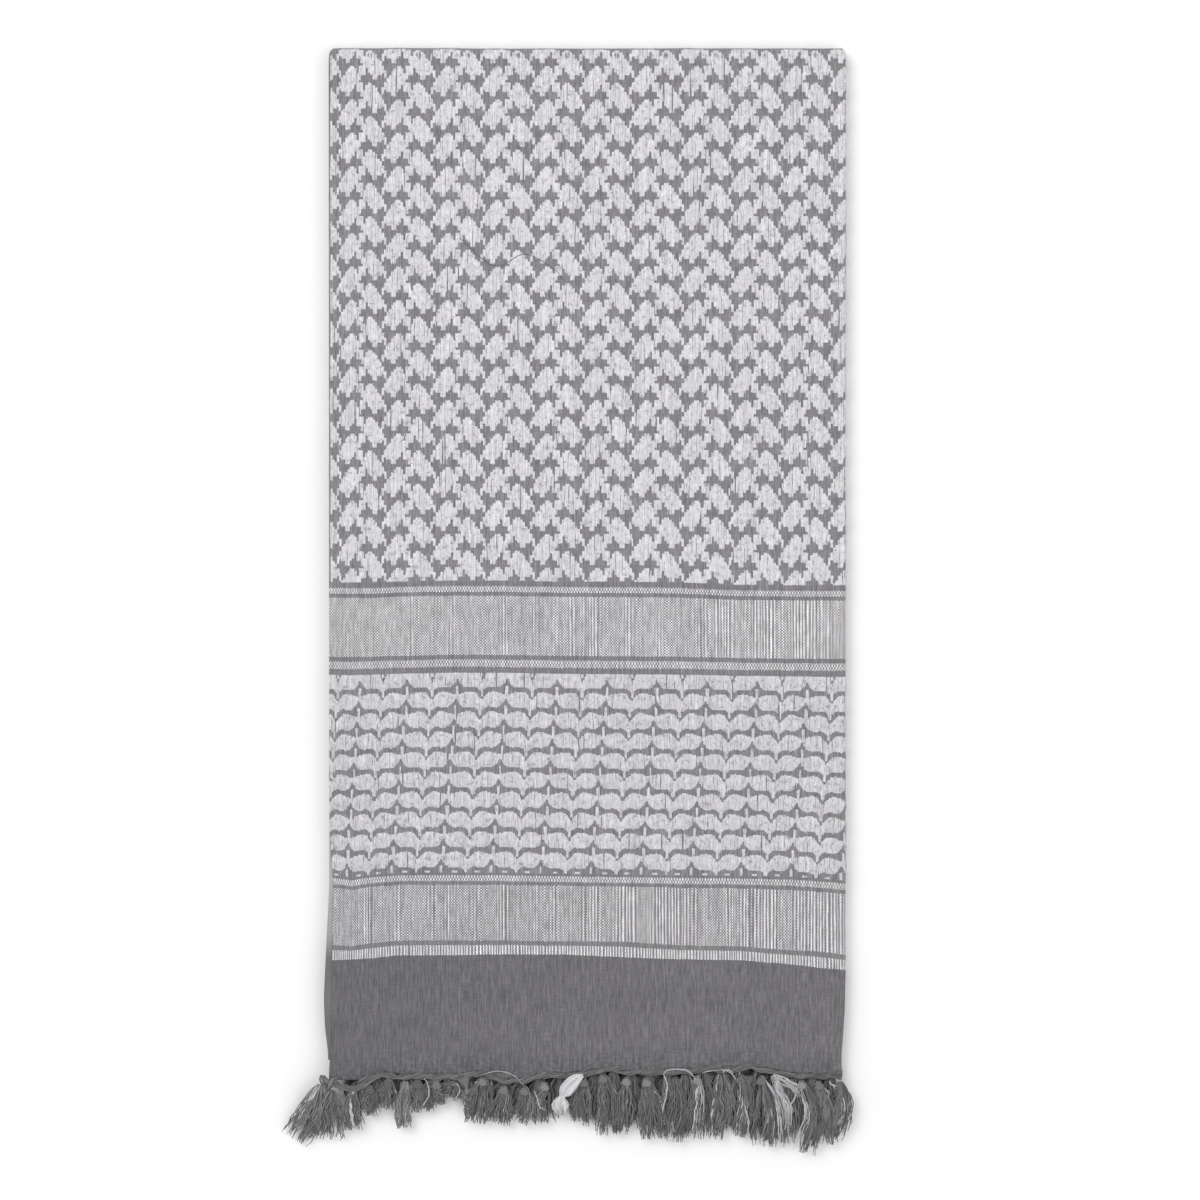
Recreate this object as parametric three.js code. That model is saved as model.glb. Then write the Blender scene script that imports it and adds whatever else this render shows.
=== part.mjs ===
// A square woven cotton headscarf, folded flat: four layers across and two along, its fold at
// the top and its fringed ends at the bottom. Millimetres, +Z up, +Y towards the top fold.
// The scarf lies on its back panel. Its origin is the middle of its base.
import * as THREE from "three";

// The folded cloth. The whole cut is four panels wide and two panels long.
const PANEL_WIDTH = 267;
const PANEL_LENGTH = 527;
const LAYERS = 8;
const WALL = 1.2;
const GAP = 0.3;
const THICKNESS = LAYERS * WALL + 2 * GAP;
const FOLD_RADIUS = THICKNESS / 2;
const CORNER_RADIUS = 4.5;
const LEFT = -PANEL_WIDTH / 2;
const RIGHT = PANEL_WIDTH / 2;

// The right edge, where the outer layer turns down round the ones inside it.
const BEND_RADIUS = 2.4;
const LIP_DEPTH = 4.4;

// The hem, gathered into a cord with a knot at its left corner.
const CORD_RADIUS = 1.7;
const CORD_OFFSET = CORD_RADIUS + GAP;
const TASSEL_OFFSET = CORD_OFFSET + CORD_RADIUS + 0.9;
const FRONT_CORD_Z = THICKNESS - CORD_RADIUS + 0.1;
const BACK_CORD_Z = CORD_RADIUS;
const BACK_HEM_SHARE = 0.6;
const CORNER_KNOT = { x: -131.5, down: 533.2, width: 9.5, length: 7.5, height: 5.4 };

// The hidden layers end above the highest point of both hems.
const INNER_END = PANEL_LENGTH - 5.2;
const NOSE_CLEARANCE = 0.4;

// How fine the faceted forms are.
const PANEL_COLUMNS = 24;
const CORNER_COLUMNS = [0, 0.7, 2];
const BEND_STEPS = 4;
const FOLD_STEPS = 8;
const STEPS_PER_LAYER = 4;
const CORD_SIDES = 8;
const TASSEL_SIDES = 8;
const FRINGE_STEPS = 30;

const GROUND_COLOUR = "#b7b5b8";
const LAYER_COLOUR = "#8d8b8e";
const YARN_COLOUR = "#727072";
const WHITE_COLOUR = "#d6d4d6";

// Distances down from the top fold at which the long sections stand.
const SECTIONS_DOWN = [80, 240, 400, 416, 432, 450, 468, 479, 490, 506, 515];
const BACK_SECTIONS_DOWN = [80, 240, 400];

// The side edges: how far the front layer's left edge lies inside the panel, where the second
// layer's selvedge lies (negative reaches out past the panel), and how far the right edge draws in.
const SIDE_EDGES = [
  { down: 0, front: 0, second: 0.5, right: 0 },
  { down: 400, front: 0.3, second: 0.3, right: 0 },
  { down: 432, front: 2.3, second: 0.2, right: 0 },
  { down: 468, front: 1.7, second: -1.6, right: 0 },
  { down: 490, front: 1.5, second: -2.6, right: 0.5 },
  { down: 506, front: 1.4, second: -2.0, right: 1.5 },
  { down: 516, front: 0.6, second: -0.6, right: 2.3 },
  { down: 529, front: 0, second: 0, right: 2.3 },
];

// The wavy hem: how far its edge drops below the panel's nominal length.
const HEM_DROPS = [
  { x: -133.5, drop: 1 },
  { x: -122, drop: 4.6 },
  { x: -113, drop: 3.4 },
  { x: -106, drop: -1 },
  { x: -96, drop: 1.5 },
  { x: -80, drop: 0.5 },
  { x: -70, drop: 2 },
  { x: -55, drop: -1 },
  { x: -40, drop: 4.4 },
  { x: -26, drop: 3.4 },
  { x: -20, drop: -0.3 },
  { x: -8, drop: 1 },
  { x: 8, drop: -2.5 },
  { x: 25, drop: -0.5 },
  { x: 52, drop: -1.5 },
  { x: 65, drop: -3 },
  { x: 78, drop: -2 },
  { x: 88, drop: -4.2 },
  { x: 101, drop: 0.5 },
  { x: 133.5, drop: 1.5 },
];

// The hidden layers, from the second down to the seventh, as leaves: a fold joins two layers
// in one rounded nose and a selvedge is one layer's. inset is how far the nose lies inside.
const LEFT_LEAVES = [
  { layers: 1, inset: 0, selvedge: true },
  { layers: 2, inset: 0.9, selvedge: false },
  { layers: 2, inset: 0.4, selvedge: false },
  { layers: 1, inset: 0.7, selvedge: false },
];
const RIGHT_LEAVES = [
  { layers: 2, inset: 0 },
  { layers: 1, inset: 0.7 },
  { layers: 1, inset: 0.9 },
  { layers: 2, inset: 0 },
];

// The tassels of the front layer, left to right: where each is tied along the hem, how far below
// the cord it starts, how far its tip leans to the right, how far the tip reaches below its start,
// its width at the tip, and how far the tip sinks below its head.
const TASSELS = [
  { x: -136.4, below: 3, lean: -16.5, reach: 24, width: 10, sink: 5.6 },
  { x: -131.2, below: 5, lean: -7.5, reach: 22.5, width: 5.5, sink: 4.4 },
  { x: -121.5, below: 0, lean: 1.5, reach: 20, width: 7, sink: 2.4 },
  { x: -113, below: 0, lean: 2.5, reach: 14, width: 7.6, sink: 2.4 },
  { x: -103.5, below: 0.8, lean: 0.5, reach: 14, width: 7, sink: 2.4 },
  { x: -93, below: 0, lean: -5, reach: 22, width: 4.6, sink: 2.4 },
  { x: -86.5, below: 0, lean: -2.5, reach: 15, width: 5, sink: 2.4 },
  { x: -78.5, below: 0, lean: 0, reach: 13, width: 8.6, sink: 2.4 },
  { x: -69, below: 0, lean: 0.5, reach: 8, width: 6.4, sink: 2 },
  { x: -55, below: 0, lean: 1.5, reach: 22, width: 9, sink: 2.4 },
  { x: -44, below: 0, lean: 0.5, reach: 18, width: 8.4, sink: 2.4 },
  { x: -33.5, below: 0, lean: 1, reach: 17, width: 8, sink: 2.4 },
  { x: -23, below: 0, lean: 0, reach: 20, width: 8.4, sink: 2.4 },
  { x: -10, below: 0, lean: -4, reach: 16, width: 6.6, sink: 2.4 },
  { x: -1, below: 0, lean: -3.5, reach: 20, width: 7, sink: 2.4 },
  { x: 8.5, below: 0, lean: -1, reach: 29, width: 8.6, sink: 2.4 },
  { x: 19, below: 0, lean: 0.5, reach: 27, width: 8.6, sink: 2.4 },
  { x: 31, below: 0, lean: -0.5, reach: 29, width: 9.6, sink: 2.4 },
  { x: 44, below: 0, lean: 0, reach: 31, width: 9.8, sink: 2.4 },
  { x: 56, below: 0, lean: 0, reach: 30, width: 9.2, sink: 2.4 },
  { x: 67.5, below: 0, lean: 0, reach: 31.5, width: 9, sink: 2.4 },
  { x: 78, below: 0, lean: 0, reach: 29, width: 8, sink: 2.4 },
  { x: 90, below: 2.4, lean: -1, reach: 33.5, width: 9.6, sink: 2.4 },
  { x: 101, below: 0, lean: 0, reach: 30, width: 9, sink: 2.4 },
  { x: 111, below: 0, lean: -0.5, reach: 34.6, width: 8, sink: 2.4 },
  { x: 120, below: 0, lean: -0.5, reach: 30.5, width: 7.4, sink: 2.4 },
  { x: 128.8, below: 0, lean: 0.2, reach: 27, width: 7.4, sink: 2.4 },
];
const WHITE_TASSEL = 14;
const TASSEL_DEPTH = 3.2;
const HEAD_WIDTH = 4.4;

// A tassel's form along its length: the share of its head's and of its tip's width, and of its depth.
const TASSEL_FORM = [
  { along: 0, head: 0.55, tip: 0, depth: 0.5 },
  { along: 0.06, head: 1, tip: 0, depth: 1 },
  { along: 0.2, head: 1.05, tip: 0, depth: 1 },
  { along: 0.3, head: 0.85, tip: 0.05, depth: 0.8 },
  { along: 0.6, head: 0.35, tip: 0.55, depth: 0.9 },
  { along: 0.92, head: 0, tip: 1, depth: 0.8 },
  { along: 1, head: 0, tip: 0.8, depth: 0.35 },
];

// The fringe of the layers beneath: how far it reaches below the hem's nominal line.
const FRINGE_REACH = [
  { x: -126, reach: 13 },
  { x: -116, reach: 16 },
  { x: -100, reach: 12 },
  { x: -88, reach: 17 },
  { x: -76, reach: 13 },
  { x: -64, reach: 8.5 },
  { x: -52, reach: 22 },
  { x: -38, reach: 21 },
  { x: -22, reach: 23 },
  { x: -12, reach: 17 },
  { x: 8, reach: 27 },
  { x: 35, reach: 26 },
  { x: 46, reach: 30 },
  { x: 76, reach: 27 },
  { x: 88, reach: 33 },
  { x: 112, reach: 31 },
  { x: 128, reach: 25 },
];
const FRINGE_TOP_HIGH = 6.5;
const FRINGE_TOP_LOW = 4.3;
const FRINGE_LEDGE = BACK_CORD_Z + CORD_RADIUS + 0.4;

// A table's column at a place along it, easing smoothly from row to row.
function valueAt(table, key, place, column) {
  if (place <= table[0][key]) return table[0][column];
  for (let i = 1; i < table.length; i++) {
    if (place <= table[i][key]) {
      const before = table[i - 1];
      const share = THREE.MathUtils.smoothstep(place, before[key], table[i][key]);
      return THREE.MathUtils.lerp(before[column], table[i][column], share);
    }
  }
  return table[table.length - 1][column];
}

// A closed solid through rings of points. Each end is closed by rungs between the first half of
// its ring and the second half, so a long thin section needs no middle point.
function loft(rings) {
  const count = rings[0].length;
  const positions = rings.flat().flatMap((point) => point.toArray());
  const faces = [];
  const quad = (a, b, c, d) => faces.push(a, b, c, a, c, d);
  for (let row = 0; row < rings.length - 1; row++) {
    for (let i = 0; i < count; i++) {
      const next = (i + 1) % count;
      quad(row * count + i, row * count + next, (row + 1) * count + next, (row + 1) * count + i);
    }
  }
  const last = (rings.length - 1) * count;
  for (let i = 0; i < count / 2 - 1; i++) {
    const mirror = count - 1 - i;
    quad(i, mirror, mirror - 1, i + 1);
    quad(last + i, last + i + 1, last + mirror - 1, last + mirror);
  }
  const geometry = new THREE.BufferGeometry();
  geometry.setAttribute("position", new THREE.Float32BufferAttribute(positions, 3));
  geometry.setIndex(signedVolume(positions, faces) < 0 ? faces.reverse() : faces);
  geometry.computeVertexNormals();
  return geometry;
}

function signedVolume(positions, faces) {
  const corner = (i) => new THREE.Vector3().fromArray(positions, i * 3);
  let volume = 0;
  for (let i = 0; i < faces.length; i += 3) {
    volume += corner(faces[i]).dot(corner(faces[i + 1]).cross(corner(faces[i + 2])));
  }
  return volume / 6;
}

function piece(name, geometry, colour) {
  const material = new THREE.MeshStandardMaterial({ color: colour, roughness: 0.92, metalness: 0 });
  const mesh = new THREE.Mesh(geometry, material);
  mesh.name = name;
  return mesh;
}

const frontHem = (x) => PANEL_LENGTH + valueAt(HEM_DROPS, "x", x, "drop");
const backHem = (x) => PANEL_LENGTH + BACK_HEM_SHARE * valueAt(HEM_DROPS, "x", -x, "drop");

// How far the top fold draws down at x, to round the corners of the folded panel.
function cornerCut(x) {
  const nearest = Math.min(x - LEFT, RIGHT - x);
  const into = THREE.MathUtils.clamp(CORNER_RADIUS - nearest, 0, CORNER_RADIUS);
  return CORNER_RADIUS - Math.sqrt(CORNER_RADIUS ** 2 - into ** 2);
}

// The places across a panel at which its sections have points, closer together at its corners.
function panelColumns(left, bend) {
  const start = left + CORNER_RADIUS;
  const columns = CORNER_COLUMNS.map((into) => left + into);
  for (let i = 0; i <= PANEL_COLUMNS; i++) {
    columns.push(THREE.MathUtils.lerp(start, bend - WALL, i / PANEL_COLUMNS));
  }
  return [...columns, bend];
}

// One section of the outer layer between two side edges: its outer face from left to right and
// round the bend, then its inner face back. inset is the distance in from the outer face.
function outerSection(left, right) {
  const outer = [];
  const inner = [];
  const bend = right - BEND_RADIUS;
  for (const x of panelColumns(left, bend)) {
    outer.push({ x, inset: 0 });
    inner.push({ x, inset: WALL });
  }
  for (let i = 1; i <= BEND_STEPS; i++) {
    const angle = (i / BEND_STEPS) * (Math.PI / 2);
    const radius = BEND_RADIUS - WALL;
    outer.push({ x: bend + BEND_RADIUS * Math.sin(angle), inset: BEND_RADIUS * (1 - Math.cos(angle)) });
    inner.push({ x: bend + radius * Math.sin(angle), inset: WALL + radius * (1 - Math.cos(angle)) });
  }
  outer.push({ x: right, inset: LIP_DEPTH });
  inner.push({ x: right - WALL, inset: LIP_DEPTH });
  return [...outer, ...inner.reverse()];
}

// The outer layer, in one piece: up the front, over the top fold and down the back.
function outerCloth() {
  const rings = [];
  const foldY = (x) => -(FOLD_RADIUS + cornerCut(x));
  const frontAt = (down, yAt) => {
    const left = LEFT + valueAt(SIDE_EDGES, "down", down, "front");
    const right = RIGHT - valueAt(SIDE_EDGES, "down", down, "right");
    const section = outerSection(left, right);
    rings.push(section.map(({ x, inset }) => new THREE.Vector3(x, yAt(x), THICKNESS - inset)));
  };
  frontAt(PANEL_LENGTH, (x) => -frontHem(x));
  for (const down of [...SECTIONS_DOWN].reverse()) frontAt(down, () => -down);
  for (let i = 0; i <= FOLD_STEPS; i++) {
    const angle = Math.PI * (0.5 - i / FOLD_STEPS);
    const section = outerSection(LEFT, RIGHT);
    rings.push(
      section.map(({ x, inset }) => {
        const radius = FOLD_RADIUS - inset;
        const y = foldY(x) + radius * Math.cos(angle);
        return new THREE.Vector3(x, y, FOLD_RADIUS + radius * Math.sin(angle));
      }),
    );
  }
  for (const down of BACK_SECTIONS_DOWN) {
    rings.push(outerSection(LEFT, RIGHT).map(({ x, inset }) => new THREE.Vector3(x, -down, inset)));
  }
  rings.push(outerSection(LEFT, RIGHT).map(({ x, inset }) => new THREE.Vector3(x, -backHem(x), inset)));
  return loft(rings);
}

// How far a stack of rounded leaves draws in at a depth below its top, and the leaf there.
function leafAt(leaves, depth) {
  let top = 0;
  for (const leaf of leaves) {
    const height = leaf.layers * WALL;
    if (depth <= top + height + 1e-6) {
      const share = THREE.MathUtils.clamp((2 * (depth - top)) / height - 1, -1, 1);
      return { leaf, draw: leaf.inset + (height / 2) * (1 - Math.sqrt(1 - share ** 2)) };
    }
    top += height;
  }
  return { leaf: leaves.at(-1), draw: leaves.at(-1).inset };
}

// The six hidden layers as one solid: rounded leaves at the sides, a round nose inside the top
// fold and the layers' own ends at the hem.
function innerLayers() {
  const depths = [];
  const steps = (LAYERS - 2) * STEPS_PER_LAYER;
  for (let i = 0; i <= steps; i++) depths.push((i / steps) * (LAYERS - 2) * WALL);
  const top = THICKNESS - WALL - GAP;
  const noseRadius = FOLD_RADIUS - WALL - GAP;
  const noseY = (z, x) => {
    const rise = THREE.MathUtils.clamp((z - FOLD_RADIUS) / noseRadius, -1, 1);
    return -(FOLD_RADIUS + cornerCut(x)) + (noseRadius - NOSE_CLEARANCE) * Math.sqrt(1 - rise ** 2);
  };
  const endY = (depth) => {
    const share = 2 * ((depth / WALL) % 1) - 1;
    return -INNER_END + (WALL / 2) * (1 - Math.sqrt(Math.max(0, 1 - share ** 2)));
  };
  const ring = (down, yAt) => {
    const leftEdge = depths.map((depth) => {
      const { leaf, draw } = leafAt(LEFT_LEAVES, depth);
      const reach = leaf.selvedge ? valueAt(SIDE_EDGES, "down", down, "second") : 0;
      const x = LEFT + reach + draw;
      return new THREE.Vector3(x, yAt(x, depth), top - depth);
    });
    const rightEdge = depths.map((depth) => {
      const pulled = valueAt(SIDE_EDGES, "down", down, "right");
      const x = RIGHT - WALL - GAP - pulled - leafAt(RIGHT_LEAVES, depth).draw;
      return new THREE.Vector3(x, yAt(x, depth), top - depth);
    });
    return [...leftEdge, ...rightEdge.reverse()];
  };
  return loft([
    ring(0, (x, depth) => noseY(top - depth, x)),
    ...SECTIONS_DOWN.map((down) => ring(down, () => -down)),
    ring(INNER_END, (x, depth) => endY(depth)),
  ]);
}

// A hem's gathered cord: a round section carried along the hem's line, from column to column.
function hemCord(hemAt, z, from, rightEdge) {
  const rings = [];
  const columns = panelColumns(LEFT, rightEdge - BEND_RADIUS);
  for (const x of columns.filter((column) => column > from)) {
    const y = -(hemAt(x) + CORD_OFFSET);
    const ring = [];
    for (let side = 0; side < CORD_SIDES; side++) {
      const angle = (2 * Math.PI * (side + 0.5)) / CORD_SIDES;
      const aside = CORD_RADIUS * Math.cos(angle);
      const above = CORD_RADIUS * Math.sin(angle);
      ring.push(new THREE.Vector3(x, y + aside, z + above));
    }
    rings.push(ring);
  }
  return loft(rings);
}

// One tassel: a round tied head that spreads into a flattened tuft.
function tassel({ x, below, lean, reach, width, sink }) {
  const top = new THREE.Vector3(x, -(frontHem(x) + TASSEL_OFFSET + below), FRONT_CORD_Z);
  const along = new THREE.Vector3(lean, -reach, -sink);
  const aside = new THREE.Vector3(reach, lean, 0).normalize();
  const rings = TASSEL_FORM.map((form) => {
    const centre = top.clone().addScaledVector(along, form.along);
    const halfWidth = (form.head * HEAD_WIDTH + form.tip * width) / 2;
    const halfDepth = (form.depth * TASSEL_DEPTH) / 2;
    const ring = [];
    for (let side = 0; side < TASSEL_SIDES; side++) {
      const angle = (2 * Math.PI * (side + 0.5)) / TASSEL_SIDES;
      const point = centre.clone().addScaledVector(aside, halfWidth * Math.cos(angle));
      point.z += halfDepth * Math.sin(angle);
      ring.push(point);
    }
    return ring;
  });
  return loft(rings);
}

// The tied knot at the hem's left corner.
function cornerKnot() {
  const geometry = new THREE.SphereGeometry(0.5, 12, 8);
  geometry.scale(CORNER_KNOT.width, CORNER_KNOT.length, CORNER_KNOT.height);
  return geometry;
}

// The fringe of the layers beneath, as one solid of its reach. It starts between the two hem
// cords, steps down past the back one and lies on the surface.
function underFringe() {
  const rings = [];
  const first = FRINGE_REACH[0].x;
  const last = FRINGE_REACH.at(-1).x;
  const start = -(INNER_END + WALL);
  for (let i = 0; i <= FRINGE_STEPS; i++) {
    const x = THREE.MathUtils.lerp(first, last, i / FRINGE_STEPS);
    const tip = -(PANEL_LENGTH + valueAt(FRINGE_REACH, "x", x, "reach"));
    const ledge = -(backHem(x) + TASSEL_OFFSET);
    const section = [
      [start, FRINGE_TOP_HIGH],
      [(start + tip) / 2, (FRINGE_TOP_HIGH + FRINGE_TOP_LOW) / 2],
      [tip + 1.2, FRINGE_TOP_LOW],
      [tip, FRINGE_TOP_LOW - 1.4],
      [tip, 1],
      [tip + 0.6, 0],
      [ledge, 0],
      [ledge, FRINGE_LEDGE],
      [start - 1, FRINGE_LEDGE],
      [start, FRINGE_LEDGE],
    ];
    rings.push(section.map(([y, z]) => new THREE.Vector3(x, y, z)));
  }
  return loft(rings);
}

const scarf = new THREE.Group();
scarf.add(piece("outer_cloth", outerCloth(), GROUND_COLOUR));
scarf.add(piece("inner_layers", innerLayers(), LAYER_COLOUR));
const knotEnd = CORNER_KNOT.x + CORNER_KNOT.width / 2;
const hemRight = RIGHT - SIDE_EDGES.at(-1).right;
scarf.add(piece("front_hem_cord", hemCord(frontHem, FRONT_CORD_Z, knotEnd, hemRight), YARN_COLOUR));
scarf.add(piece("back_hem_cord", hemCord(backHem, BACK_CORD_Z, LEFT, RIGHT), YARN_COLOUR));
scarf.add(piece("under_fringe", underFringe(), YARN_COLOUR));

const knot = piece("corner_knot", cornerKnot(), YARN_COLOUR);
knot.position.set(CORNER_KNOT.x, -CORNER_KNOT.down, FRONT_CORD_Z);
scarf.add(knot);

TASSELS.forEach((row, i) => {
  const number = String(i + 1).padStart(2, "0");
  const colour = i + 1 === WHITE_TASSEL ? WHITE_COLOUR : YARN_COLOUR;
  scarf.add(piece(`tassel_${number}`, tassel(row), colour));
});

// The frame: the origin at the middle of the scarf's base.
const box = new THREE.Box3().setFromObject(scarf);
const middle = box.getCenter(new THREE.Vector3());
scarf.position.set(-middle.x, -middle.y, -box.min.z);

export default scarf;
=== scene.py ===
"""The looks of a cotton keffiyeh headscarf, folded flat: its woven ground, its white floats and its fringe.

Cloth coordinates are in millimetres: x from the left edge, down from the top fold, and z up from
the surface that the scarf lies on. Weave coordinates (u, v) follow the threads, so that every
woven line runs straight in them.
"""

import math

import bpy
import numpy as np
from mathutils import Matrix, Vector


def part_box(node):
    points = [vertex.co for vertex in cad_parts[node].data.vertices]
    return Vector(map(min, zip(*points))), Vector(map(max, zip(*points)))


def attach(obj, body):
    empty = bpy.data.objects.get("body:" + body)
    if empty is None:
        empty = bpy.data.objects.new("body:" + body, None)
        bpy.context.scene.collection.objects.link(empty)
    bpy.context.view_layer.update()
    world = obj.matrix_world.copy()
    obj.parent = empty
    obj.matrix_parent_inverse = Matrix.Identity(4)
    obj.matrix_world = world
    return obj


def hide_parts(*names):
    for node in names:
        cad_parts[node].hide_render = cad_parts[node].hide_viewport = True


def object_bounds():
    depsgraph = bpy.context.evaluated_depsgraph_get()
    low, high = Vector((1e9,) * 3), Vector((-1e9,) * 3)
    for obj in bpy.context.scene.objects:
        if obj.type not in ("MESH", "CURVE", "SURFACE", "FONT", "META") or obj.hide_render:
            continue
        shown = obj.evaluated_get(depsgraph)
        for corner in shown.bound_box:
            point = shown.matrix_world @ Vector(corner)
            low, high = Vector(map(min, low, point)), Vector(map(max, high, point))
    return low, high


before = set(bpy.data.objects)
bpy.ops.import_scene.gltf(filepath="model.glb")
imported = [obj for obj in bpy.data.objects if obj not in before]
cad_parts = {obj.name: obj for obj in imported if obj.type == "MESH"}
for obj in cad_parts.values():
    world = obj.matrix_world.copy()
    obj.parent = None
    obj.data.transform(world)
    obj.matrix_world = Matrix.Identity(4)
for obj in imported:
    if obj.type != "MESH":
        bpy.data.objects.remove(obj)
cad_low, cad_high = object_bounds()


def table(columns, rows):
    """A table with named columns, from one line of names and a row of values for each line."""
    names = columns.split()
    return [dict(zip(names, row)) for row in rows]


# ---- sizes ----
MM = 0.001
cloth_low, cloth_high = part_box("outer_cloth")
WIDTH = (cloth_high.x - cloth_low.x) / MM
LENGTH = 527.0
THICKNESS = cloth_high.z / MM
WALL = 1.2
FOLD_RADIUS = THICKNESS / 2
FOLD_ARC = FOLD_RADIUS * math.pi / 2
FOLD_START = FOLD_RADIUS - FOLD_ARC
BEND_RADIUS = 2.4
BEND_ARC = BEND_RADIUS * math.pi * 0.94
CORNER_RADIUS = 3.2
FOLD_SLACK = 0.7
GROUND_DEPTH = 0.45

# The weave is crowded towards the left selvedge.
CROWDING = 3.5
CROWDED_WIDTH = 42.0
WEAVE_WIDTH = WIDTH - BEND_RADIUS + CROWDING + BEND_ARC

# How far the woven lines sag below their levels, at places across the panel.
SAG_PLACES = (2, 11, 22, 37, 63, 89, 120, 150, 181, 212, 238, 253, 266)
SAG_LEVELS = [
    {"level": 245, "sag": (0, 0, 0, 0, 0, 0, 0, 0, 0, 0, 0, 0, 0)},
    {"level": 276, "sag": (1.0, 1.0, 1.0, 0.5, 0, 0, 0.6, 0.6, 1.0, 2.3, 2.5, 2.5, 2.5)},
    {"level": 320, "sag": (1.0, 1.3, 1.0, 0.5, 0, 0, 0.6, 0.8, 1.0, 1.6, 1.9, 2.1, 2.1)},
    {"level": 425, "sag": (1.5, 2.6, 1.0, 0, 0, 0, 0.6, 1.0, 1.3, 1.6, 2.1, 3.1, 4.1)},
    {"level": 461, "sag": (2.6, 3.1, 1.6, 0, 0, 0, 0.5, 0.6, 2.6, 3.1, 5.2, 5.8, 7.7)},
    {"level": 467, "sag": (3.1, 2.6, 2.1, 0.5, 0.5, 0, 0, 1.6, 2.6, 3.1, 5.2, 7.2, 8.2)},
]

# The side edges: how far the front layer's left edge and its right wrap draw in.
SIDE_EDGES = table(
    "down left second right",
    [
        (0, 0, 0.5, 0),
        (400, 0.3, 0.3, 0),
        (432, 2.3, 0.2, 0),
        (468, 1.7, -1.6, 0),
        (490, 1.5, -2.6, 0.5),
        (506, 1.4, -2.0, 1.5),
        (516, 0.6, -0.6, 2.3),
        (529, 0, 0, 2.3),
    ],
)
EDGE_REACH = 30.0

# The stack of six hidden layers. Its left edge shows them as leaves: a fold joins two layers in
# one rounded nose and a selvedge is one layer's. inset is how far the nose lies inside.
LEFT_LEAVES = table(
    "layers inset selvedge",
    [
        (1, 0.0, True),
        (2, 0.9, False),
        (2, 0.4, False),
        (1, 0.7, False),
    ],
)
LEAF_STEPS = 8
HIDDEN_TOP = THICKNESS - WALL - 0.1
HIDDEN_BOTTOM = WALL + 0.1
HIDDEN_END = LENGTH - 5.2
HIDDEN_RIGHT = WIDTH - 6.0
LEAF_CREASE = 0.25
LEAF_WANDER = 0.35
LEAF_WANDER_PITCH = 26
HIDDEN_FIRST_ROWS = (1.2, 2.5, 4.5)
HIDDEN_ROWS = 120
HIDDEN_ROWS_START = 8

# The woven bands below the field: where each starts, down the weave, and what it is.
BANDS = table(
    "start kind",
    [
        (-20.0, "ground"),
        (275.1, "line"),
        (277.6, "strip"),
        (280.5, "line"),
        (282.6, "checks"),
        (313.0, "line"),
        (315.4, "strip"),
        (319.2, "line"),
        (321.9, "ground"),
        (425.3, "line"),
        (426.6, "strip"),
        (429.6, "line"),
        (431.5, "checks"),
        (460.1, "line"),
        (462.5, "ticks"),
        (467.3, "border"),
    ],
)
FOLD_LINE_START = -1.6
FOLD_LINE_END = 0.2
FIELD_END = BANDS[1]["start"]

# The field's chart: two grey islands in each repeat, on white. Each row lists its grey cells.
CELL_WIDTH = 1.28
CELL_HEIGHT = 1.23
REPEAT_COLUMNS = 20
REPEAT_ROWS = 14
ISLAND = [
    (3,),
    (3,),
    (3, 4, 10),
    (1, 2, 3, 4, 5, 8, 9, 10),
    (1, 2, 3, 4, 5, 8, 9, 10, 11),
    (0, 1, 2, 3, 4, 5, 6, 7, 8, 9, 10, 11),
    (2, 3, 6, 7, 8, 9, 10),
    (2, 7, 8, 9, 10),
    (2, 8, 9),
    (8, 9),
    (9,),
]
MIRROR_COLUMN = 21
MIRROR_ROW = 7
CHART_U = 145.6
CHART_V = 131.3

# The wave band's chart: the grey line between two white rows, over one repeat.
WAVE_START = 322.2
WAVE_FIRST_LINE = 331.2
WAVE_PITCH = 10.3
WAVE_ROWS = 10
WAVE_END = 425.1
WAVE_REPEAT = 25.75
WAVE_SHIFT = 0.92
WAVE_PHASE = 18.35
WAVE_STRIPS = 40
WAVE_MARGIN = 0.28
WAVE_LINE = table(
    "along upper lower",
    [
        (0.0, -5.8, -2.7),
        (0.62, -5.2, -2.5),
        (0.64, -4.8, 2.0),
        (1.3, -3.5, 1.9),
        (1.9, -2.6, 1.4),
        (3.6, -1.4, 0.9),
        (5.3, -1.1, 0.5),
        (7.0, -1.2, 0.3),
        (8.7, -1.4, 0.6),
        (10.0, -1.1, 1.4),
        (10.9, -0.4, 2.7),
        (11.84, 0.4, 3.8),
        (11.86, 3.4, 4.5),
        (13.14, 3.4, 4.5),
        (13.16, 0.4, 3.7),
        (13.9, 0.0, 3.0),
        (15.1, -1.0, 1.9),
        (16.4, -1.6, 0.6),
        (18.1, -1.4, 0.3),
        (19.8, -1.0, 0.4),
        (22.0, -1.3, 1.2),
        (24.0, -3.0, 1.8),
        (25.11, -4.8, 2.0),
        (25.13, -5.2, -2.5),
        (25.75, -5.8, -2.7),
    ],
)

# The first wave row is notched above each dip of its grey line, with a white dot in the notch.
NOTCH_PLACE = 12.9
NOTCH_DEPTH = 5.4
NOTCH_HALF = 1.9
DOT_TOP = 0.4
DOT_END = 1.9
DOT_HALF = 0.66

# The floats: strips of loose white yarn that stand on the ground.
FLOAT_LIFT = 0.34
FLOAT_CROWN = 0.17
FLOAT_TUCK = 0.12
FLOAT_OVERLAP = 0.22
LONG_FLOAT = 7.0
FLOAT_STEPS = (0, 0.1, 0.5, 0.9, 1)
COARSE_FLOAT_STEPS = (0, 0.12, 0.88, 1)
LOOSE_SHARE = 0.6

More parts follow.
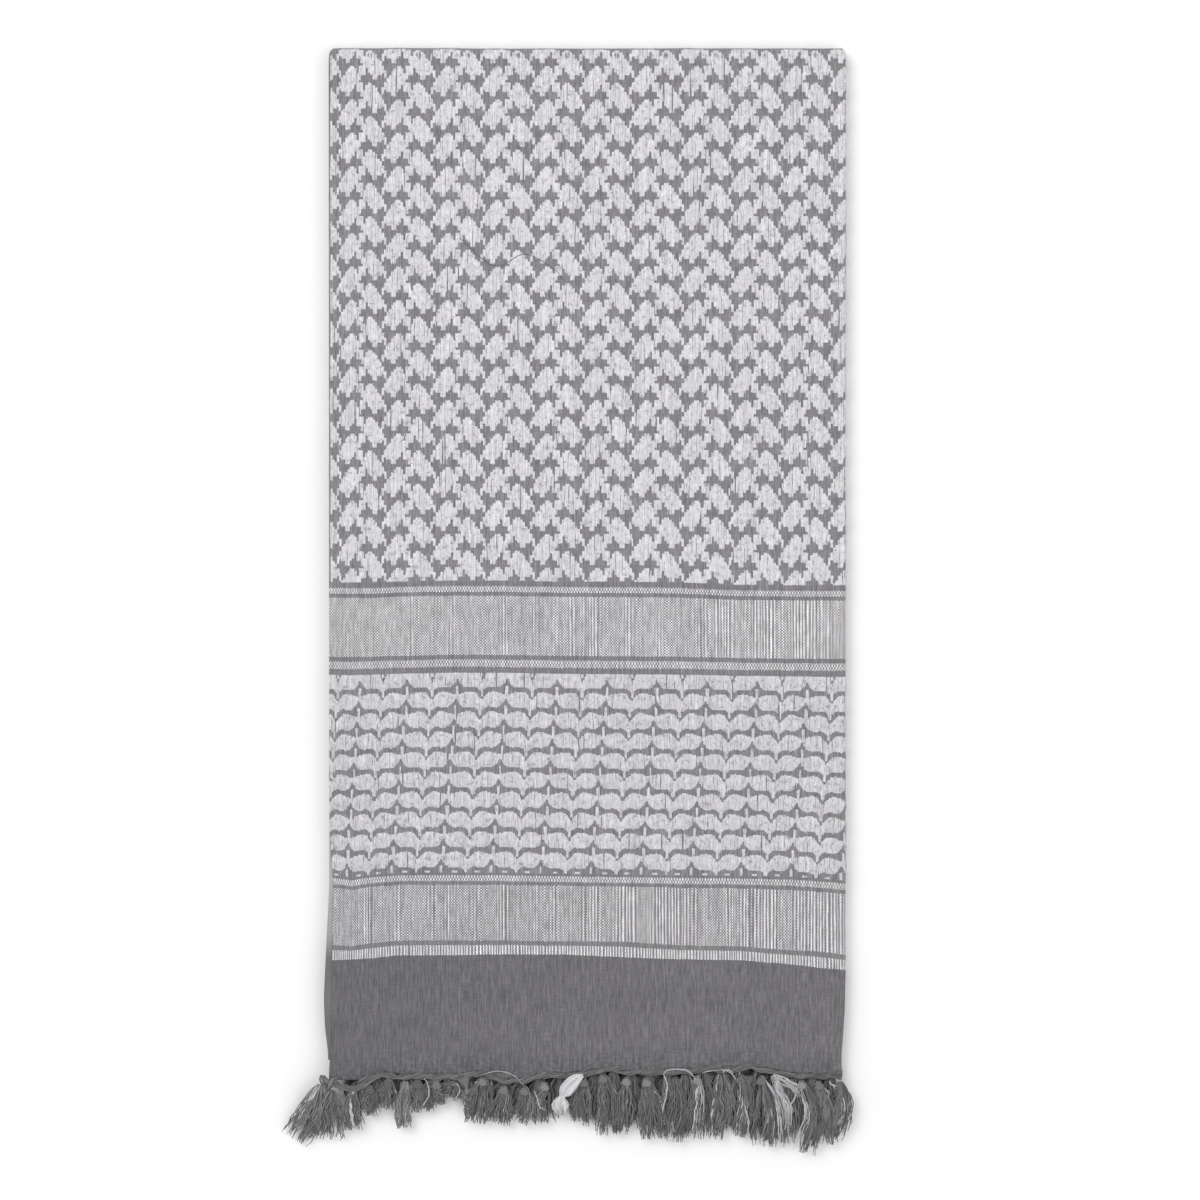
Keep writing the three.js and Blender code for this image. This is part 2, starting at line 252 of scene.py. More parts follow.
# The unevenness of the stack: how high each kind is and how far apart its rises are.
UNEVENNESS = table(
    "height pitch_across pitch_down seed",
    [
        (0.16, 46, 70, 3),
        (0.07, 13, 22, 4),
    ],
)
SETTLED = 0.1
PUCKER_HEIGHT = 0.7
PUCKER_REACH = 6.0
PUCKER_DROP = 0.3
CORNER_FADE = 30

# How finely the cloth is divided, across it and down it.
EDGE_COLUMNS = (0.3, 0.8, 1.6)
PANEL_COLUMNS = 84
BEND_COLUMNS = 10
FOLD_ROWS = 8
PANEL_ROWS = 150
GATHERED_ROWS = 22
GATHERED_DEPTH = 24

# The fringe. A tassel's form along its length is in shares of its head's and of its tip's width.
TASSELS = 27
STRAND_RADIUS = 0.27
STRAND_SIDES = 4
STRANDS = 96
LOCK_STEPS = 10
CLUMP = 6
CORD_STRANDS = 24
HIDDEN_CORD_STRANDS = 10
CORD_END = 1.4
CORD_RADIUS = 1.7
CORD_GAP = 2.0
CORD_STEP = 1.4
CORD_LAY = 34
CORD_YARN = 0.38
CORD_WIDE = 1.15
CORD_LOW = 0.85
HEM_LAP = 0.8
HEAD_WIDTH = 4.6
TASSEL_DEPTH = 3.4
TASSEL_WIDENING = 1.3
TASSEL_FORM = table(
    "along head tip depth",
    [
        (0.0, 0.4, 0.0, 0.6),
        (0.1, 0.95, 0.0, 0.9),
        (0.2, 0.9, 0.12, 0.8),
        (0.4, 0.35, 0.6, 1.0),
        (0.7, 0.1, 0.92, 0.9),
        (1.0, 0.0, 1.0, 0.6),
    ],
)

# The thread wound round a tassel's head.
WINDING_TURNS = 5
WINDING_STEPS = 44
WINDING_START = 1.2
WINDING_LENGTH = 3.4
WINDING_HALF_WIDTH = 2.4
WINDING_HALF_HEIGHT = 1.9
WINDING_RAISE = 0.8
WINDING_RADIUS = 0.5

# What sets some tassels apart: how many white strands they have, how pale the tied head is, how far
# a head is sunk out of sight, how much paler the yarn is, how much wider the tassel or its head is,
# and whether its head has no winding.
TASSEL_TRAITS = {
    1: {"pale": 0.3, "white": 6, "wide": 1.1, "head_wide": 1.7, "untied": True},
    2: {"pale": 0.05, "wide": 1.7, "head_wide": 1.7, "untied": True},
    3: {"white": 6, "wide": 1.2, "untied": True},
    4: {"wide": 1.25},
    5: {"white": 4, "wide": 1.3},
    6: {"pale": 0.3, "white": 4, "wide": 1.0, "head_wide": 1.4, "untied": True},
    7: {"wide": 1.7},
    8: {"head": 0.43, "wide": 1.25},
    9: {"white": 7, "wide": 1.4, "untied": True},
    11: {"head": 0.38},
    12: {"white": 3},
    13: {"head": 0.43, "white": 2},
    16: {"head": 0.38, "wide": 1.15},
    17: {"head": 0.43},
    18: {"head": 0.43, "white": 2},
    19: {"sunk": 2.6, "white": 3},
    20: {"head": 0.38, "white": 9},
    21: {"sunk": 2.6, "white": 3},
    22: {"white": 9},
    23: {"head": 0.58, "white": 8, "wide": 1.25},
    24: {"sunk": 1.6, "white": 14},
    25: {"head": 0.38, "white": 8, "wide": 1.1},
    26: {"white": 6, "wide": 1.15},
    27: {"white": 3, "wide": 1.1, "untied": True},
}

# The corner knot's turns, in shares of its half size, and the cord that sags from it (x, down, up).
KNOT_TURNS = table(
    "width tone line",
    [
        (0.55, 0.1, [(-0.9, 0.7, -0.5), (-0.3, -0.3, 0.4), (0.4, -0.8, 0.5), (1, -0.6, -0.4)]),
        (0.6, 0.15, [(-1, -0.7, -0.4), (-0.6, -0.2, 0.6), (0.2, 0.2, 0.9), (0.9, 0.9, 0.2)]),
        (0.5, 0.2, [(0.3, -1, -0.4), (0.2, -0.3, 1.0), (-0.2, 0.5, 1.0), (-0.4, 1.1, 0)]),
        (0.4, 0.05, [(-1.1, -0.9, 0), (-1.2, -0.3, 0.1), (-0.7, 0.3, 0.2), (-0.4, 1.0, 0)]),
    ],
)
KNOT_STEPS = 12
KNOT_STRANDS = 26
SWAG_LINE = [
    (2, 532, 9.4),
    (7.5, 535.4, 9.8),
    (13, 536.4, 9.8),
    (18.5, 534, 9.8),
    (24, 530.4, 9.8),
    (31, 528.6, 9.4),
]
SWAG_STEPS = 20
SWAG_STRANDS = 34

WHITE_BOW = 14
WHITE_BOW_LINE = [
    (131, 529.5, 10.2),
    (126.5, 532.5, 11.2),
    (122, 537.5, 11.2),
    (120.2, 540.6, 10),
    (119.4, 544.5, 10.4),
    (120, 549, 9),
]
WHITE_BOW_WIDTHS = (1.2, 6.2, 6.6, 2.2, 8.6, 5.5)

# White threads that lie over the tassels: how many, how far apart, and their line (x, down).
THREADS = table(
    "count spread line",
    [
        (3, 0.8, ((172.5, 528.4), (175, 526.6), (184.4, 527), (189, 531), (191.6, 536), (186.5, 545))),
        (3, 0.9, ((172.5, 529), (174.6, 535.5), (172.5, 544), (170.5, 552.5))),
        (2, 0.8, ((193, 528.6), (196, 527.2), (205, 527.6), (209.5, 531.5), (212, 536.5), (207, 545))),
        (3, 1.0, ((191.5, 537), (189.5, 546), (188, 556), (187, 561))),
        (40, 6.0, ((229, 529.4), (231.5, 536), (233.8, 545), (235.8, 557))),
        (24, 4.0, ((230, 530), (235, 533.5), (240, 536), (243, 541))),
        (24, 3.4, ((231, 532), (233, 539), (237.4, 545), (236.8, 555))),
        (5, 2.0, ((229, 529), (234.8, 532), (238.5, 533.6), (242.5, 534.4))),
        (4, 1.4, ((242, 535), (240.5, 541), (238, 548), (235.6, 558))),
        (4, 2.6, ((214, 545), (214.5, 550), (215.5, 556), (215, 561))),
        (4, 1.6, ((203, 528.2), (204.5, 527.2), (206, 527.6), (207.2, 529))),
        (3, 1.4, ((255.5, 536), (256.5, 537.5), (257.6, 539), (258, 541.5))),
        (3, 1.2, ((258, 532.6), (259, 534), (260.4, 535), (262, 535.4))),
        (3, 1.0, ((246.5, 550), (247, 552.5), (247.6, 555), (247.4, 558))),
        (2, 0.8, ((78, 529.6), (86, 527.8), (93, 528.4), (97.5, 531.5), (101, 536))),
        (2, 0.7, ((106, 537.5), (107, 542), (108.5, 546), (112, 548.5))),
        (3, 1.2, ((49, 531), (51.5, 534.5), (52, 539), (49, 545))),
        (3, 1.2, ((66, 533.5), (67.5, 537), (66.5, 541), (64, 543.5))),
    ],
)
FRINGE_GAP = 71.0
FRINGE_GAP_HALF = 5.5
THREAD_TOP = 10.7
DARK_THREAD = [(71, 98.4), (89, 112.8), (104.5, 106.6), (119.5, 114.3), (124.6, 120.5)]
DARK_THREAD_HEIGHT = 0.22
THREAD_RADIUS = 0.17
THREAD_FALL = 0.09

# The floor, the lights and the camera. Light places are in metres from the scarf's middle.
FLOOR_HALF = 20.0
FLOOR_TONE = 253
WORLD_STRENGTH = 0.64
LIGHTS = table(
    "name place size power",
    [
        ("key", (-1.1, 1.3, 2.4), 1.6, 34),
        ("fill", (1.6, -0.8, 2.2), 2.4, 17),
    ],
)
CAMERA_LENS = 100
VIEW_WIDTH = 618
VIEW_CENTRE = (17.5, -1.3)
SENSOR = 36


# ---- tables and noise ----
LATTICE = (97, 89)
LATTICE_START = 1000


def table_value(table, key, place, column):
    """A table's column at places along it."""
    return np.interp(place, [row[key] for row in table], [row[column] for row in table])


def soft_noise(x, y, pitch_x, pitch_y, seed):
    """Smooth random values from -1 to 1, with one lattice point to each pitch."""
    lattice = np.random.default_rng(seed).uniform(-1, 1, LATTICE)
    gx = np.asarray(x, float) / pitch_x + LATTICE_START
    gy = np.asarray(y, float) / pitch_y + LATTICE_START
    column = np.floor(gx).astype(int)
    row = np.floor(gy).astype(int)
    tx = gx - column
    ty = gy - row
    tx = tx * tx * (3 - 2 * tx)
    ty = ty * ty * (3 - 2 * ty)

    def at(i, j):
        return lattice[(column + i) % LATTICE[0], (row + j) % LATTICE[1]]

    top = at(0, 0) * (1 - tx) + at(1, 0) * tx
    bottom = at(0, 1) * (1 - tx) + at(1, 1) * tx
    return top * (1 - ty) + bottom * ty


# ---- what the CAD nodes say ----
def node_points(name):
    """A CAD node's vertices in cloth coordinates."""
    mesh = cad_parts[name].data
    points = np.empty(len(mesh.vertices) * 3)
    mesh.vertices.foreach_get("co", points)
    points = points.reshape(-1, 3) / MM
    return np.column_stack(
        [points[:, 0] - cloth_low.x / MM, cloth_high.y / MM - points[:, 1], points[:, 2]]
    )


def centre_line(name):
    """A cord's middle, from left to right."""
    points = node_points(name)
    places = np.unique(np.round(points[:, 0], 1))
    rings = [points[np.abs(points[:, 0] - place) < 0.08].mean(axis=0) for place in places]
    return np.array(rings)


def far_edge(name, steps=60):
    """How far down a node reaches, at even steps from its left to its right."""
    points = node_points(name)
    places = np.linspace(points[:, 0].min(), points[:, 0].max(), steps)
    reach = (places[1] - places[0]) * 1.5
    edges = [points[np.abs(points[:, 0] - place) < reach, 1].max() for place in places]
    return places, np.array(edges)


def tassel_axis(name):
    """A CAD tassel's head, tip and width at the tip."""
    points = node_points(name)
    order = np.argsort(points[:, 1])
    head = points[order[:8]].mean(axis=0)
    tip = points[order[-8:]].mean(axis=0)
    along = (tip - head)[:2] / np.linalg.norm((tip - head)[:2])
    return head, tip, np.ptp(points[:, :2] @ [along[1], -along[0]])


front_cord_line = centre_line("front_hem_cord")
back_cord_line = centre_line("back_hem_cord")
pucker_places = [tassel_axis(f"tassel_{number:02d}")[0][0] for number in range(3, TASSELS + 1)]


def hem(x, back):
    """How far down the cloth's own edge lies."""
    line = back_cord_line if back else front_cord_line
    return np.interp(x, line[:, 0], line[:, 1]) - CORD_GAP + HEM_LAP


# ---- the drape: weave coordinates to cloth coordinates ----
def across(u):
    """The place across the panel of a warp thread."""
    a = CROWDING / CROWDED_WIDTH**2
    b = 1 + 2 * CROWDING / CROWDED_WIDTH
    near = np.minimum(u, CROWDED_WIDTH + CROWDING)
    crowded = (b - np.sqrt(b * b - 4 * a * near)) / (2 * a)
    return np.where(u < CROWDED_WIDTH + CROWDING, crowded, u - CROWDING)


def sagged(x, v, back):
    """How far down a weft thread lies at x."""
    levels = [row["level"] for row in SAG_LEVELS]
    sags = [np.interp(x, SAG_PLACES, row["sag"]) for row in SAG_LEVELS]
    hem_sag = hem(x, back) - LENGTH
    levels.append(LENGTH)
    sags.append(hem_sag)
    down = np.array(v, float)
    drop = np.where(v >= LENGTH, hem_sag, 0.0)
    for i in range(len(levels) - 1):
        share = np.clip((v - levels[i]) / (levels[i + 1] - levels[i]), 0, 1)
        inside = (v >= levels[i]) & (v < levels[i + 1])
        drop = np.where(inside, sags[i] * (1 - share) + sags[i + 1] * share, drop)
    return down + drop


def corner_cut(x):
    nearest = np.minimum(x, WIDTH - x)
    into = np.clip(CORNER_RADIUS - nearest, 0, CORNER_RADIUS)
    return CORNER_RADIUS - np.sqrt(CORNER_RADIUS**2 - into**2)


def undulation(x, down):
    """The soft unevenness of the folded stack, and the puckers that the tassels draw in the hem."""
    uneven = 0.0
    for row in UNEVENNESS:
        noise = soft_noise(x, down, row["pitch_across"], row["pitch_down"], row["seed"])
        uneven = uneven + row["height"] * noise
    near_hem = np.exp(-np.clip(LENGTH - down, 0, None) / PUCKER_REACH)
    pucker = np.cos(2 * math.pi * np.interp(x, pucker_places, np.arange(len(pucker_places))))
    return uneven - SETTLED + near_hem * (PUCKER_HEIGHT * pucker - PUCKER_DROP)


def drape(u, v, height, back=False):
    """Places weave coordinates and a height above the cloth's outer face."""
    u, v, height = np.broadcast_arrays(
        np.asarray(u, float), np.asarray(v, float), np.asarray(height, float)
    )
    flat_x = across(u)
    bend = WIDTH - BEND_RADIUS
    turn = np.clip((flat_x - bend) / BEND_RADIUS, 0, None)
    height = height + undulation(np.minimum(flat_x, bend), v)
    x = np.where(turn > 0, bend + (BEND_RADIUS + height) * np.sin(turn), flat_x)
    inset = np.where(turn > 0, BEND_RADIUS - (BEND_RADIUS + height) * np.cos(turn), -height)
    down = np.where(v > FOLD_RADIUS, sagged(np.minimum(x, WIDTH), v, back), FOLD_RADIUS)
    fold = np.clip((FOLD_RADIUS - v) / FOLD_RADIUS, 0, None)
    radius = FOLD_RADIUS - inset
    corner = corner_cut(x) * np.clip(1 - (v - FOLD_RADIUS) / CORNER_FADE, 0, 1)
    down = down - (radius + FOLD_SLACK) * np.sin(fold) + corner
    z = FOLD_RADIUS + radius * np.cos(fold)
    right_pull = table_value(SIDE_EDGES, "down", v, "right")
    x = x - right_pull * np.clip(1 - (WIDTH - x) / EDGE_REACH, 0, 1) ** 2
    if not back:
        left_pull = table_value(SIDE_EDGES, "down", v, "left")
        x = x + left_pull * np.clip(1 - x / EDGE_REACH, 0, 1) ** 2
    else:
        z = THICKNESS - z
    return np.stack([x, down, z], axis=-1)


# ---- meshes ----
def to_world(points):
    return np.column_stack(
        [
            cloth_low.x + points[:, 0] * MM,
            cloth_high.y - points[:, 1] * MM,
            points[:, 2] * MM,
        ]
    )


def make_piece(name, points, quads, materials, weave=None, tone=None, material_index=None):
    """A mesh of quads on the scarf, with its weave coordinates and a tone for each point."""
    mesh = bpy.data.meshes.new(name)
    mesh.vertices.add(len(points))
    mesh.vertices.foreach_set("co", to_world(points).ravel())
    mesh.loops.add(quads.size)
    mesh.loops.foreach_set("vertex_index", quads.astype(np.int32).ravel())
    mesh.polygons.add(len(quads))
    mesh.polygons.foreach_set("loop_start", np.arange(0, quads.size, 4, dtype=np.int32))
    for material in materials:
        mesh.materials.append(material)
    if material_index is not None:
        mesh.polygons.foreach_set("material_index", material_index.astype(np.int32))
    mesh.update(calc_edges=True)
    mesh.shade_smooth()
    if weave is not None:
        layer = mesh.uv_layers.new(name="weave")
        layer.data.foreach_set("uv", weave[quads.ravel()].astype(np.float32).ravel())
    if tone is not None:
        attribute = mesh.attributes.new("tone", "FLOAT", "POINT")
        attribute.data.foreach_set("value", tone.astype(np.float32))
    piece = bpy.data.objects.new(name, mesh)
    bpy.context.scene.collection.objects.link(piece)
    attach(piece, "root")
    return piece


def grid_quads(rows, columns, start=0):
    """The quads of a grid of points, stored row by row."""
    index = np.arange(rows * columns).reshape(rows, columns) + start
    return np.stack(
        [index[:-1, :-1], index[1:, :-1], index[1:, 1:], index[:-1, 1:]], axis=-1
    ).reshape(-1, 4)


def tubes(paths, radii):
    """Closed four-sided tubes along paths of equal numbers of points."""
    paths = np.asarray(paths, float)
    count, steps, _ = paths.shape
    radii = np.broadcast_to(radii, (count, steps))
    tangent = np.gradient(paths, axis=1)
    tangent /= np.linalg.norm(tangent, axis=2, keepdims=True) + 1e-9
    upward = np.array([0.05, 0.03, 1.0])
    aside = np.cross(tangent, upward)
    aside /= np.linalg.norm(aside, axis=2, keepdims=True) + 1e-9
    above = np.cross(aside, tangent)
    rings = []
    for side in range(STRAND_SIDES):
        angle = 2 * math.pi * side / STRAND_SIDES
        offset = math.cos(angle) * aside + math.sin(angle) * above
        rings.append(paths + radii[..., None] * offset)
    points = np.stack(rings, axis=2).reshape(-1, 3)
    index = np.arange(count * steps * STRAND_SIDES).reshape(count, steps, STRAND_SIDES)
    turned = np.roll(index, -1, axis=2)
    walls = np.stack([index[:, :-1], turned[:, :-1], turned[:, 1:], index[:, 1:]], axis=-1)
    quads = [walls.reshape(-1, 4)]
    for end, order in ((0, (0, 3, 2, 1)), (-1, (0, 1, 2, 3))):
        quads.append(index[:, end][:, order])
    return points, np.concatenate(quads)


def strand_weave(count, steps):
    """Weave coordinates for tubes: round them and along them."""
    round_it = np.arange(STRAND_SIDES) / STRAND_SIDES
    along = np.arange(steps)
    weave = np.stack(np.broadcast_arrays(round_it[None, :], along[:, None]), axis=-1)
    offset = np.arange(count)[:, None, None, None] * np.array([1.7, 0.37])
    return (weave[None] + offset).reshape(-1, 2)


# ---- materials ----
def srgb(red, green, blue):
    """A linear colour from the 0 to 255 values of a screen colour."""
    values = [channel / 255 for channel in (red, green, blue)]
    linear = [c / 12.92 if c <= 0.04045 else ((c + 0.055) / 1.055) ** 2.4 for c in values]
    return (*linear, 1.0)


class Shader:
    """A material's node tree, with short names for the nodes it is made of."""

    def __init__(self, name, roughness, sheen):
        self.material = bpy.data.materials.new(name)
        self.material.use_nodes = True
        self.tree = self.material.node_tree
        self.surface = self.tree.nodes["Principled BSDF"]
        self.surface.inputs["Roughness"].default_value = roughness
        self.surface.inputs["Specular IOR Level"].default_value = 0.15
        self.surface.inputs["Sheen Weight"].default_value = sheen
        self.surface.inputs["Sheen Roughness"].default_value = 0.6

    def node(self, kind, **settings):
        made = self.tree.nodes.new(kind)
        for key, value in settings.items():
            setattr(made, key, value)
        return made

    def feed(self, socket, value):
        if isinstance(value, bpy.types.NodeSocket):
            self.tree.links.new(value, socket)
        else:
            socket.default_value = value

    def math(self, operation, a, b=0.0, clamp=False):
        made = self.node("ShaderNodeMath", operation=operation, use_clamp=clamp)
        self.feed(made.inputs[0], a)
        self.feed(made.inputs[1], b)
        return made.outputs[0]

    def times(self, a, b):
        return self.math("MULTIPLY", a, b)

    def plus(self, a, b, clamp=False):
        return self.math("ADD", a, b, clamp)

    def mix(self, share, a, b):
        made = self.node("ShaderNodeMix", data_type="RGBA")
        self.feed(made.inputs["Factor"], share)
        self.feed(made.inputs["A"], a)
        self.feed(made.inputs["B"], b)
        return made.outputs["Result"]

    def scaled(self, colour, share):
        made = self.node("ShaderNodeVectorMath", operation="SCALE")
        self.feed(made.inputs[0], colour)
        self.feed(made.inputs["Scale"], share)
        return made.outputs[0]

    def remap(self, value, low, high, to_low, to_high):
        made = self.node("ShaderNodeMapRange")
        self.feed(made.inputs["Value"], value)
        made.inputs["From Min"].default_value = low
        made.inputs["From Max"].default_value = high
        made.inputs["To Min"].default_value = to_low
        made.inputs["To Max"].default_value = to_high
        return made.outputs["Result"]

    def weave(self):
        """The weave coordinates u and v."""
        source = self.node("ShaderNodeUVMap", uv_map="weave")
        parts = self.node("ShaderNodeSeparateXYZ")
        self.tree.links.new(source.outputs[0], parts.inputs[0])
        return parts.outputs[0], parts.outputs[1]

    def noise(self, u, v, pitch_u, pitch_v, detail=2.0):
        """Noise with its own pitch across and along the threads, from 0 to 1."""
        place = self.node("ShaderNodeCombineXYZ")
        self.feed(place.inputs[0], self.math("DIVIDE", u, pitch_u))
        self.feed(place.inputs[1], self.math("DIVIDE", v, pitch_v))
        made = self.node("ShaderNodeTexNoise", noise_dimensions="2D")
        self.tree.links.new(place.outputs[0], made.inputs["Vector"])
        made.inputs["Scale"].default_value = 1.0
        made.inputs["Detail"].default_value = detail
        return made.outputs["Fac"]

    def wave(self, place, pitch):
        """A sine along a coordinate, from -1 to 1."""
        return self.math("SINE", self.times(place, 2 * math.pi / pitch))

    def finish(self, colour, bump, strength, distance=0.0003):
        self.tree.links.new(colour, self.surface.inputs["Base Color"])
        made = self.node("ShaderNodeBump")
        made.inputs["Strength"].default_value = strength
        made.inputs["Distance"].default_value = distance
        self.tree.links.new(bump, made.inputs["Height"])
        self.tree.links.new(made.outputs[0], self.surface.inputs["Normal"])
        return self.material


GROUND_GREY = srgb(135, 133, 136)
LINE_GREY = srgb(131, 129, 132)
BORDER_GREY = srgb(112, 110, 113)
CHECK_WHITE = srgb(228, 226, 229)
CHECK_GREY = srgb(112, 110, 113)
YARN_GREY = srgb(106, 104, 106)
YARN_PALE = srgb(178, 176, 178)
FLOAT_WHITE = srgb(203, 201, 204)
FLOAT_PALE = srgb(234, 232, 235)
THREAD_WHITE = srgb(180, 178, 181)

BAND_CODES = {
    "ground": (0, 0, 0),
    "line": (0, 1, 0),
    "strip": (0.5, 0, 0),
    "checks": (1, 0, 0),
    "ticks": (0, 0, 0.5),
    "border": (0, 0, 1),
}
SECOND_BAND = 428.0
CHECK_PITCH = 1.45
CORD_PITCH = 1.7
TICK_PITCH = 1.5


def band_codes(s, level):
    """Three numbers that say which band of the cloth a level down the weave is in."""
    values = [0.0, 0.0, 0.0]
    for before, band in zip(BANDS, BANDS[1:]):
        step = s.math("GREATER_THAN", level, band["start"])
        for i in range(3):
            change = BAND_CODES[band["kind"]][i] - BAND_CODES[before["kind"]][i]
            if change:
                made = s.node("ShaderNodeMath", operation="MULTIPLY_ADD")
                for socket, value in zip(made.inputs, (step, change, values[i])):
                    s.feed(socket, value)
                values[i] = made.outputs[0]
    return values


def ground_material():
    """The woven ground, with its bands, checks and border."""
    s = Shader("woven_ground", roughness=0.92, sheen=0.12)
    u, v = s.weave()
    uneven = s.times(s.math("SUBTRACT", s.noise(u, v, 7, 30), 0.5), 0.5)
    checked, line, plain = band_codes(s, s.plus(v, uneven))
    second = s.math("GREATER_THAN", v, SECOND_BAND)

    # Fine checks, and upright cords of small zigzags in some groups of threads.
    drifted = s.plus(u, s.times(s.noise(u, v, 9, 300, 3), 3.0))
    fine = s.times(s.wave(drifted, CHECK_PITCH), s.wave(v, CHECK_PITCH))
    zigzag = s.plus(drifted, s.times(s.wave(v, CHECK_PITCH), 0.16))
    cords = s.plus(s.times(s.wave(zigzag, CORD_PITCH), 0.5), 0.12)
    corded = s.plus(s.remap(u, 60, 260, -0.25, 0.35), s.times(second, 0.3))
    corded = s.plus(corded, s.remap(s.noise(u, v, 9, 400), 0.3, 0.7, -0.4, 0.7), clamp=True)
    pattern = s.node("ShaderNodeMix", data_type="FLOAT")
    s.feed(pattern.inputs["Factor"], corded)
    s.feed(pattern.inputs["A"], fine)
    s.feed(pattern.inputs["B"], cords)
    streaks = s.times(s.math("SUBTRACT", s.noise(u, v, 1.4, 120, 3), 0.5), 0.5)
    checks = s.plus(s.times(pattern.outputs[0], 3.0), streaks)
    uprights = s.remap(s.noise(u, v, 1.3, 500, 2), 0.42, 0.36, 0, 1)
    lines = s.times(uprights, s.remap(second, 0, 1, -0.35, -0.7))
    checks = s.plus(checks, lines)
    checks = s.plus(checks, s.remap(second, 0, 1, 0.34, 0.03), clamp=True)

    # The narrow strips: two rows of crosses. The tick strip: one row of upright ticks.
    crosses = s.times(s.wave(u, CHECK_PITCH), s.wave(v, 2.7))
    crosses = s.plus(s.times(crosses, 2.2), 0.42, clamp=True)
    ticks = s.plus(s.times(s.wave(zigzag, TICK_PITCH), 1.7), 0.3, clamp=True)

    weave_bump = s.times(s.wave(u, 0.9), s.wave(v, 0.9))
    mottled = s.noise(u, v, 0.8, 0.9, 3)
    patches = s.noise(u, v, 30, 22, 3)
    streaky = s.noise(u, v, 1.1, 16, 4)
    threads = s.noise(u, v, 0.8, 7, 2)
    crossings = s.noise(u, v, 7, 0.9, 2)
    # Painted shade: dark patches in the last millimetres above the hem, for the shade that falls in the
    # gathers the tassels draw.
    near_hem = s.remap(v, 514, 526, 0, 1)
    gathered = s.times(near_hem, s.remap(s.noise(u, v, 2.6, 2.0, 3), 0.62, 0.4, 0, 1))

    is_strip = s.math("COMPARE", checked, 0.5)
    is_checks = s.math("GREATER_THAN", checked, 0.75)
    is_ticks = s.math("COMPARE", plain, 0.5)
    is_border = s.math("GREATER_THAN", plain, 0.75)
    for compare in (is_strip, is_ticks):
        compare.node.inputs[2].default_value = 0.2
    light = s.plus(s.times(is_strip, crosses), s.times(is_checks, checks))
    light = s.plus(light, s.times(is_ticks, ticks))
    colour = s.mix(s.math("GREATER_THAN", light, 0.001), GROUND_GREY, CHECK_GREY)
    colour = s.mix(light, colour, CHECK_WHITE)
    colour = s.mix(line, colour, LINE_GREY)
    colour = s.mix(is_border, colour, BORDER_GREY)
    shade = s.plus(s.remap(mottled, 0.3, 0.7, 0.93, 1.07), s.remap(weave_bump, -1, 1, -0.05, 0.05))
    spreads = ((patches, 0.965, 1.035), (streaky, 0.85, 1.15), (threads, 0.8, 1.2), (crossings, 0.93, 1.07))
    for noise, darkest, palest in spreads:
        shade = s.times(shade, s.remap(noise, 0.3, 0.7, darkest, palest))
    # The painted shade of the hem's gathers darkens the ground there.
    shade = s.times(shade, s.remap(gathered, 0, 1, 1.0, 0.72))
    # The border grows darker towards the left and a little lighter towards the right.
    border_darker_left = s.times(s.remap(u, 10, 180, -0.08, 0.02), is_border)
    shade = s.times(shade, s.plus(border_darker_left, 1.0))
    bump = s.plus(weave_bump, s.times(pattern.outputs[0], is_checks))
    bump = s.plus(bump, s.times(s.plus(streaky, threads), 2.5))
    return s.finish(s.scaled(colour, shade), bump, strength=0.35)


def layer_material():
    """The cut edges and selvedges of the layers beneath."""
    s = Shader("layer_edges", roughness=0.92, sheen=0.1)
    u, v = s.weave()
    threads = s.noise(u, v, 0.35, 40, 3)
    crossing = s.noise(u, v, 3.0, 0.7, 2)
    shade = s.times(s.remap(threads, 0.3, 0.7, 0.8, 1.15), s.remap(crossing, 0.3, 0.7, 0.9, 1.1))
    colour = s.mix(s.remap(v, 455, 470, 0.0, 1.0), srgb(168, 166, 169), BORDER_GREY)
    return s.finish(s.scaled(colour, shade), threads, strength=0.6)


def yarn_material(name, colour, pale, fibre_u, fibre_v, contrast, curl=0.0):
    """Loose yarn: a tone for each strand, fine fibres along it that curl to each side, and painted shade
    where the fibres part.
    """
    s = Shader(name, roughness=0.9, sheen=0.15)
    u, v = s.weave()
    tone = s.node("ShaderNodeAttribute", attribute_name="tone").outputs["Fac"]
    curled = s.times(s.math("SUBTRACT", s.noise(u, v, 3.2, 2.6), 0.5), curl)
    fibres = s.noise(s.plus(u, curled), v, fibre_u, fibre_v, 3)
    shade = s.remap(fibres, 0.3, 0.7, 1 - contrast, 1 + contrast)
    # Painted shade: darker where the fibres part, for the shade between them.
    fibre_gap_shade = s.remap(fibres, 0.3, 0.4, 1 - 2.2 * contrast, 1.0)
    mixed = s.mix(tone, colour, pale)
    return s.finish(s.scaled(mixed, s.times(shade, fibre_gap_shade)), fibres, strength=0.6)


ground = ground_material()
layers = layer_material()
white_float = yarn_material("white_float_yarn", FLOAT_WHITE, FLOAT_PALE, 0.8, 3.2, 0.14, curl=5.5)
white_yarn = yarn_material("white_fringe_yarn", THREAD_WHITE, FLOAT_PALE, 0.2, 1.0, 0.06)
grey_yarn = yarn_material("grey_fringe_yarn", YARN_GREY, YARN_PALE, 0.2, 1.0, 0.12)


# ---- the outer layer ----
def cloth_columns():
    flat = np.linspace(0, WIDTH - BEND_RADIUS + CROWDING, PANEL_COLUMNS)
    bend = np.linspace(WIDTH - BEND_RADIUS + CROWDING, WEAVE_WIDTH, BEND_COLUMNS)[1:]
    return np.unique(np.concatenate([flat, EDGE_COLUMNS, bend]))


def cloth_rows():
    fold = np.linspace(FOLD_START, FOLD_RADIUS, FOLD_ROWS)
    panel = np.linspace(FOLD_RADIUS, LENGTH - GATHERED_DEPTH, PANEL_ROWS)[1:]
    gathered = np.linspace(LENGTH - GATHERED_DEPTH, LENGTH, GATHERED_ROWS)[1:]
    return np.concatenate([fold, panel, gathered])


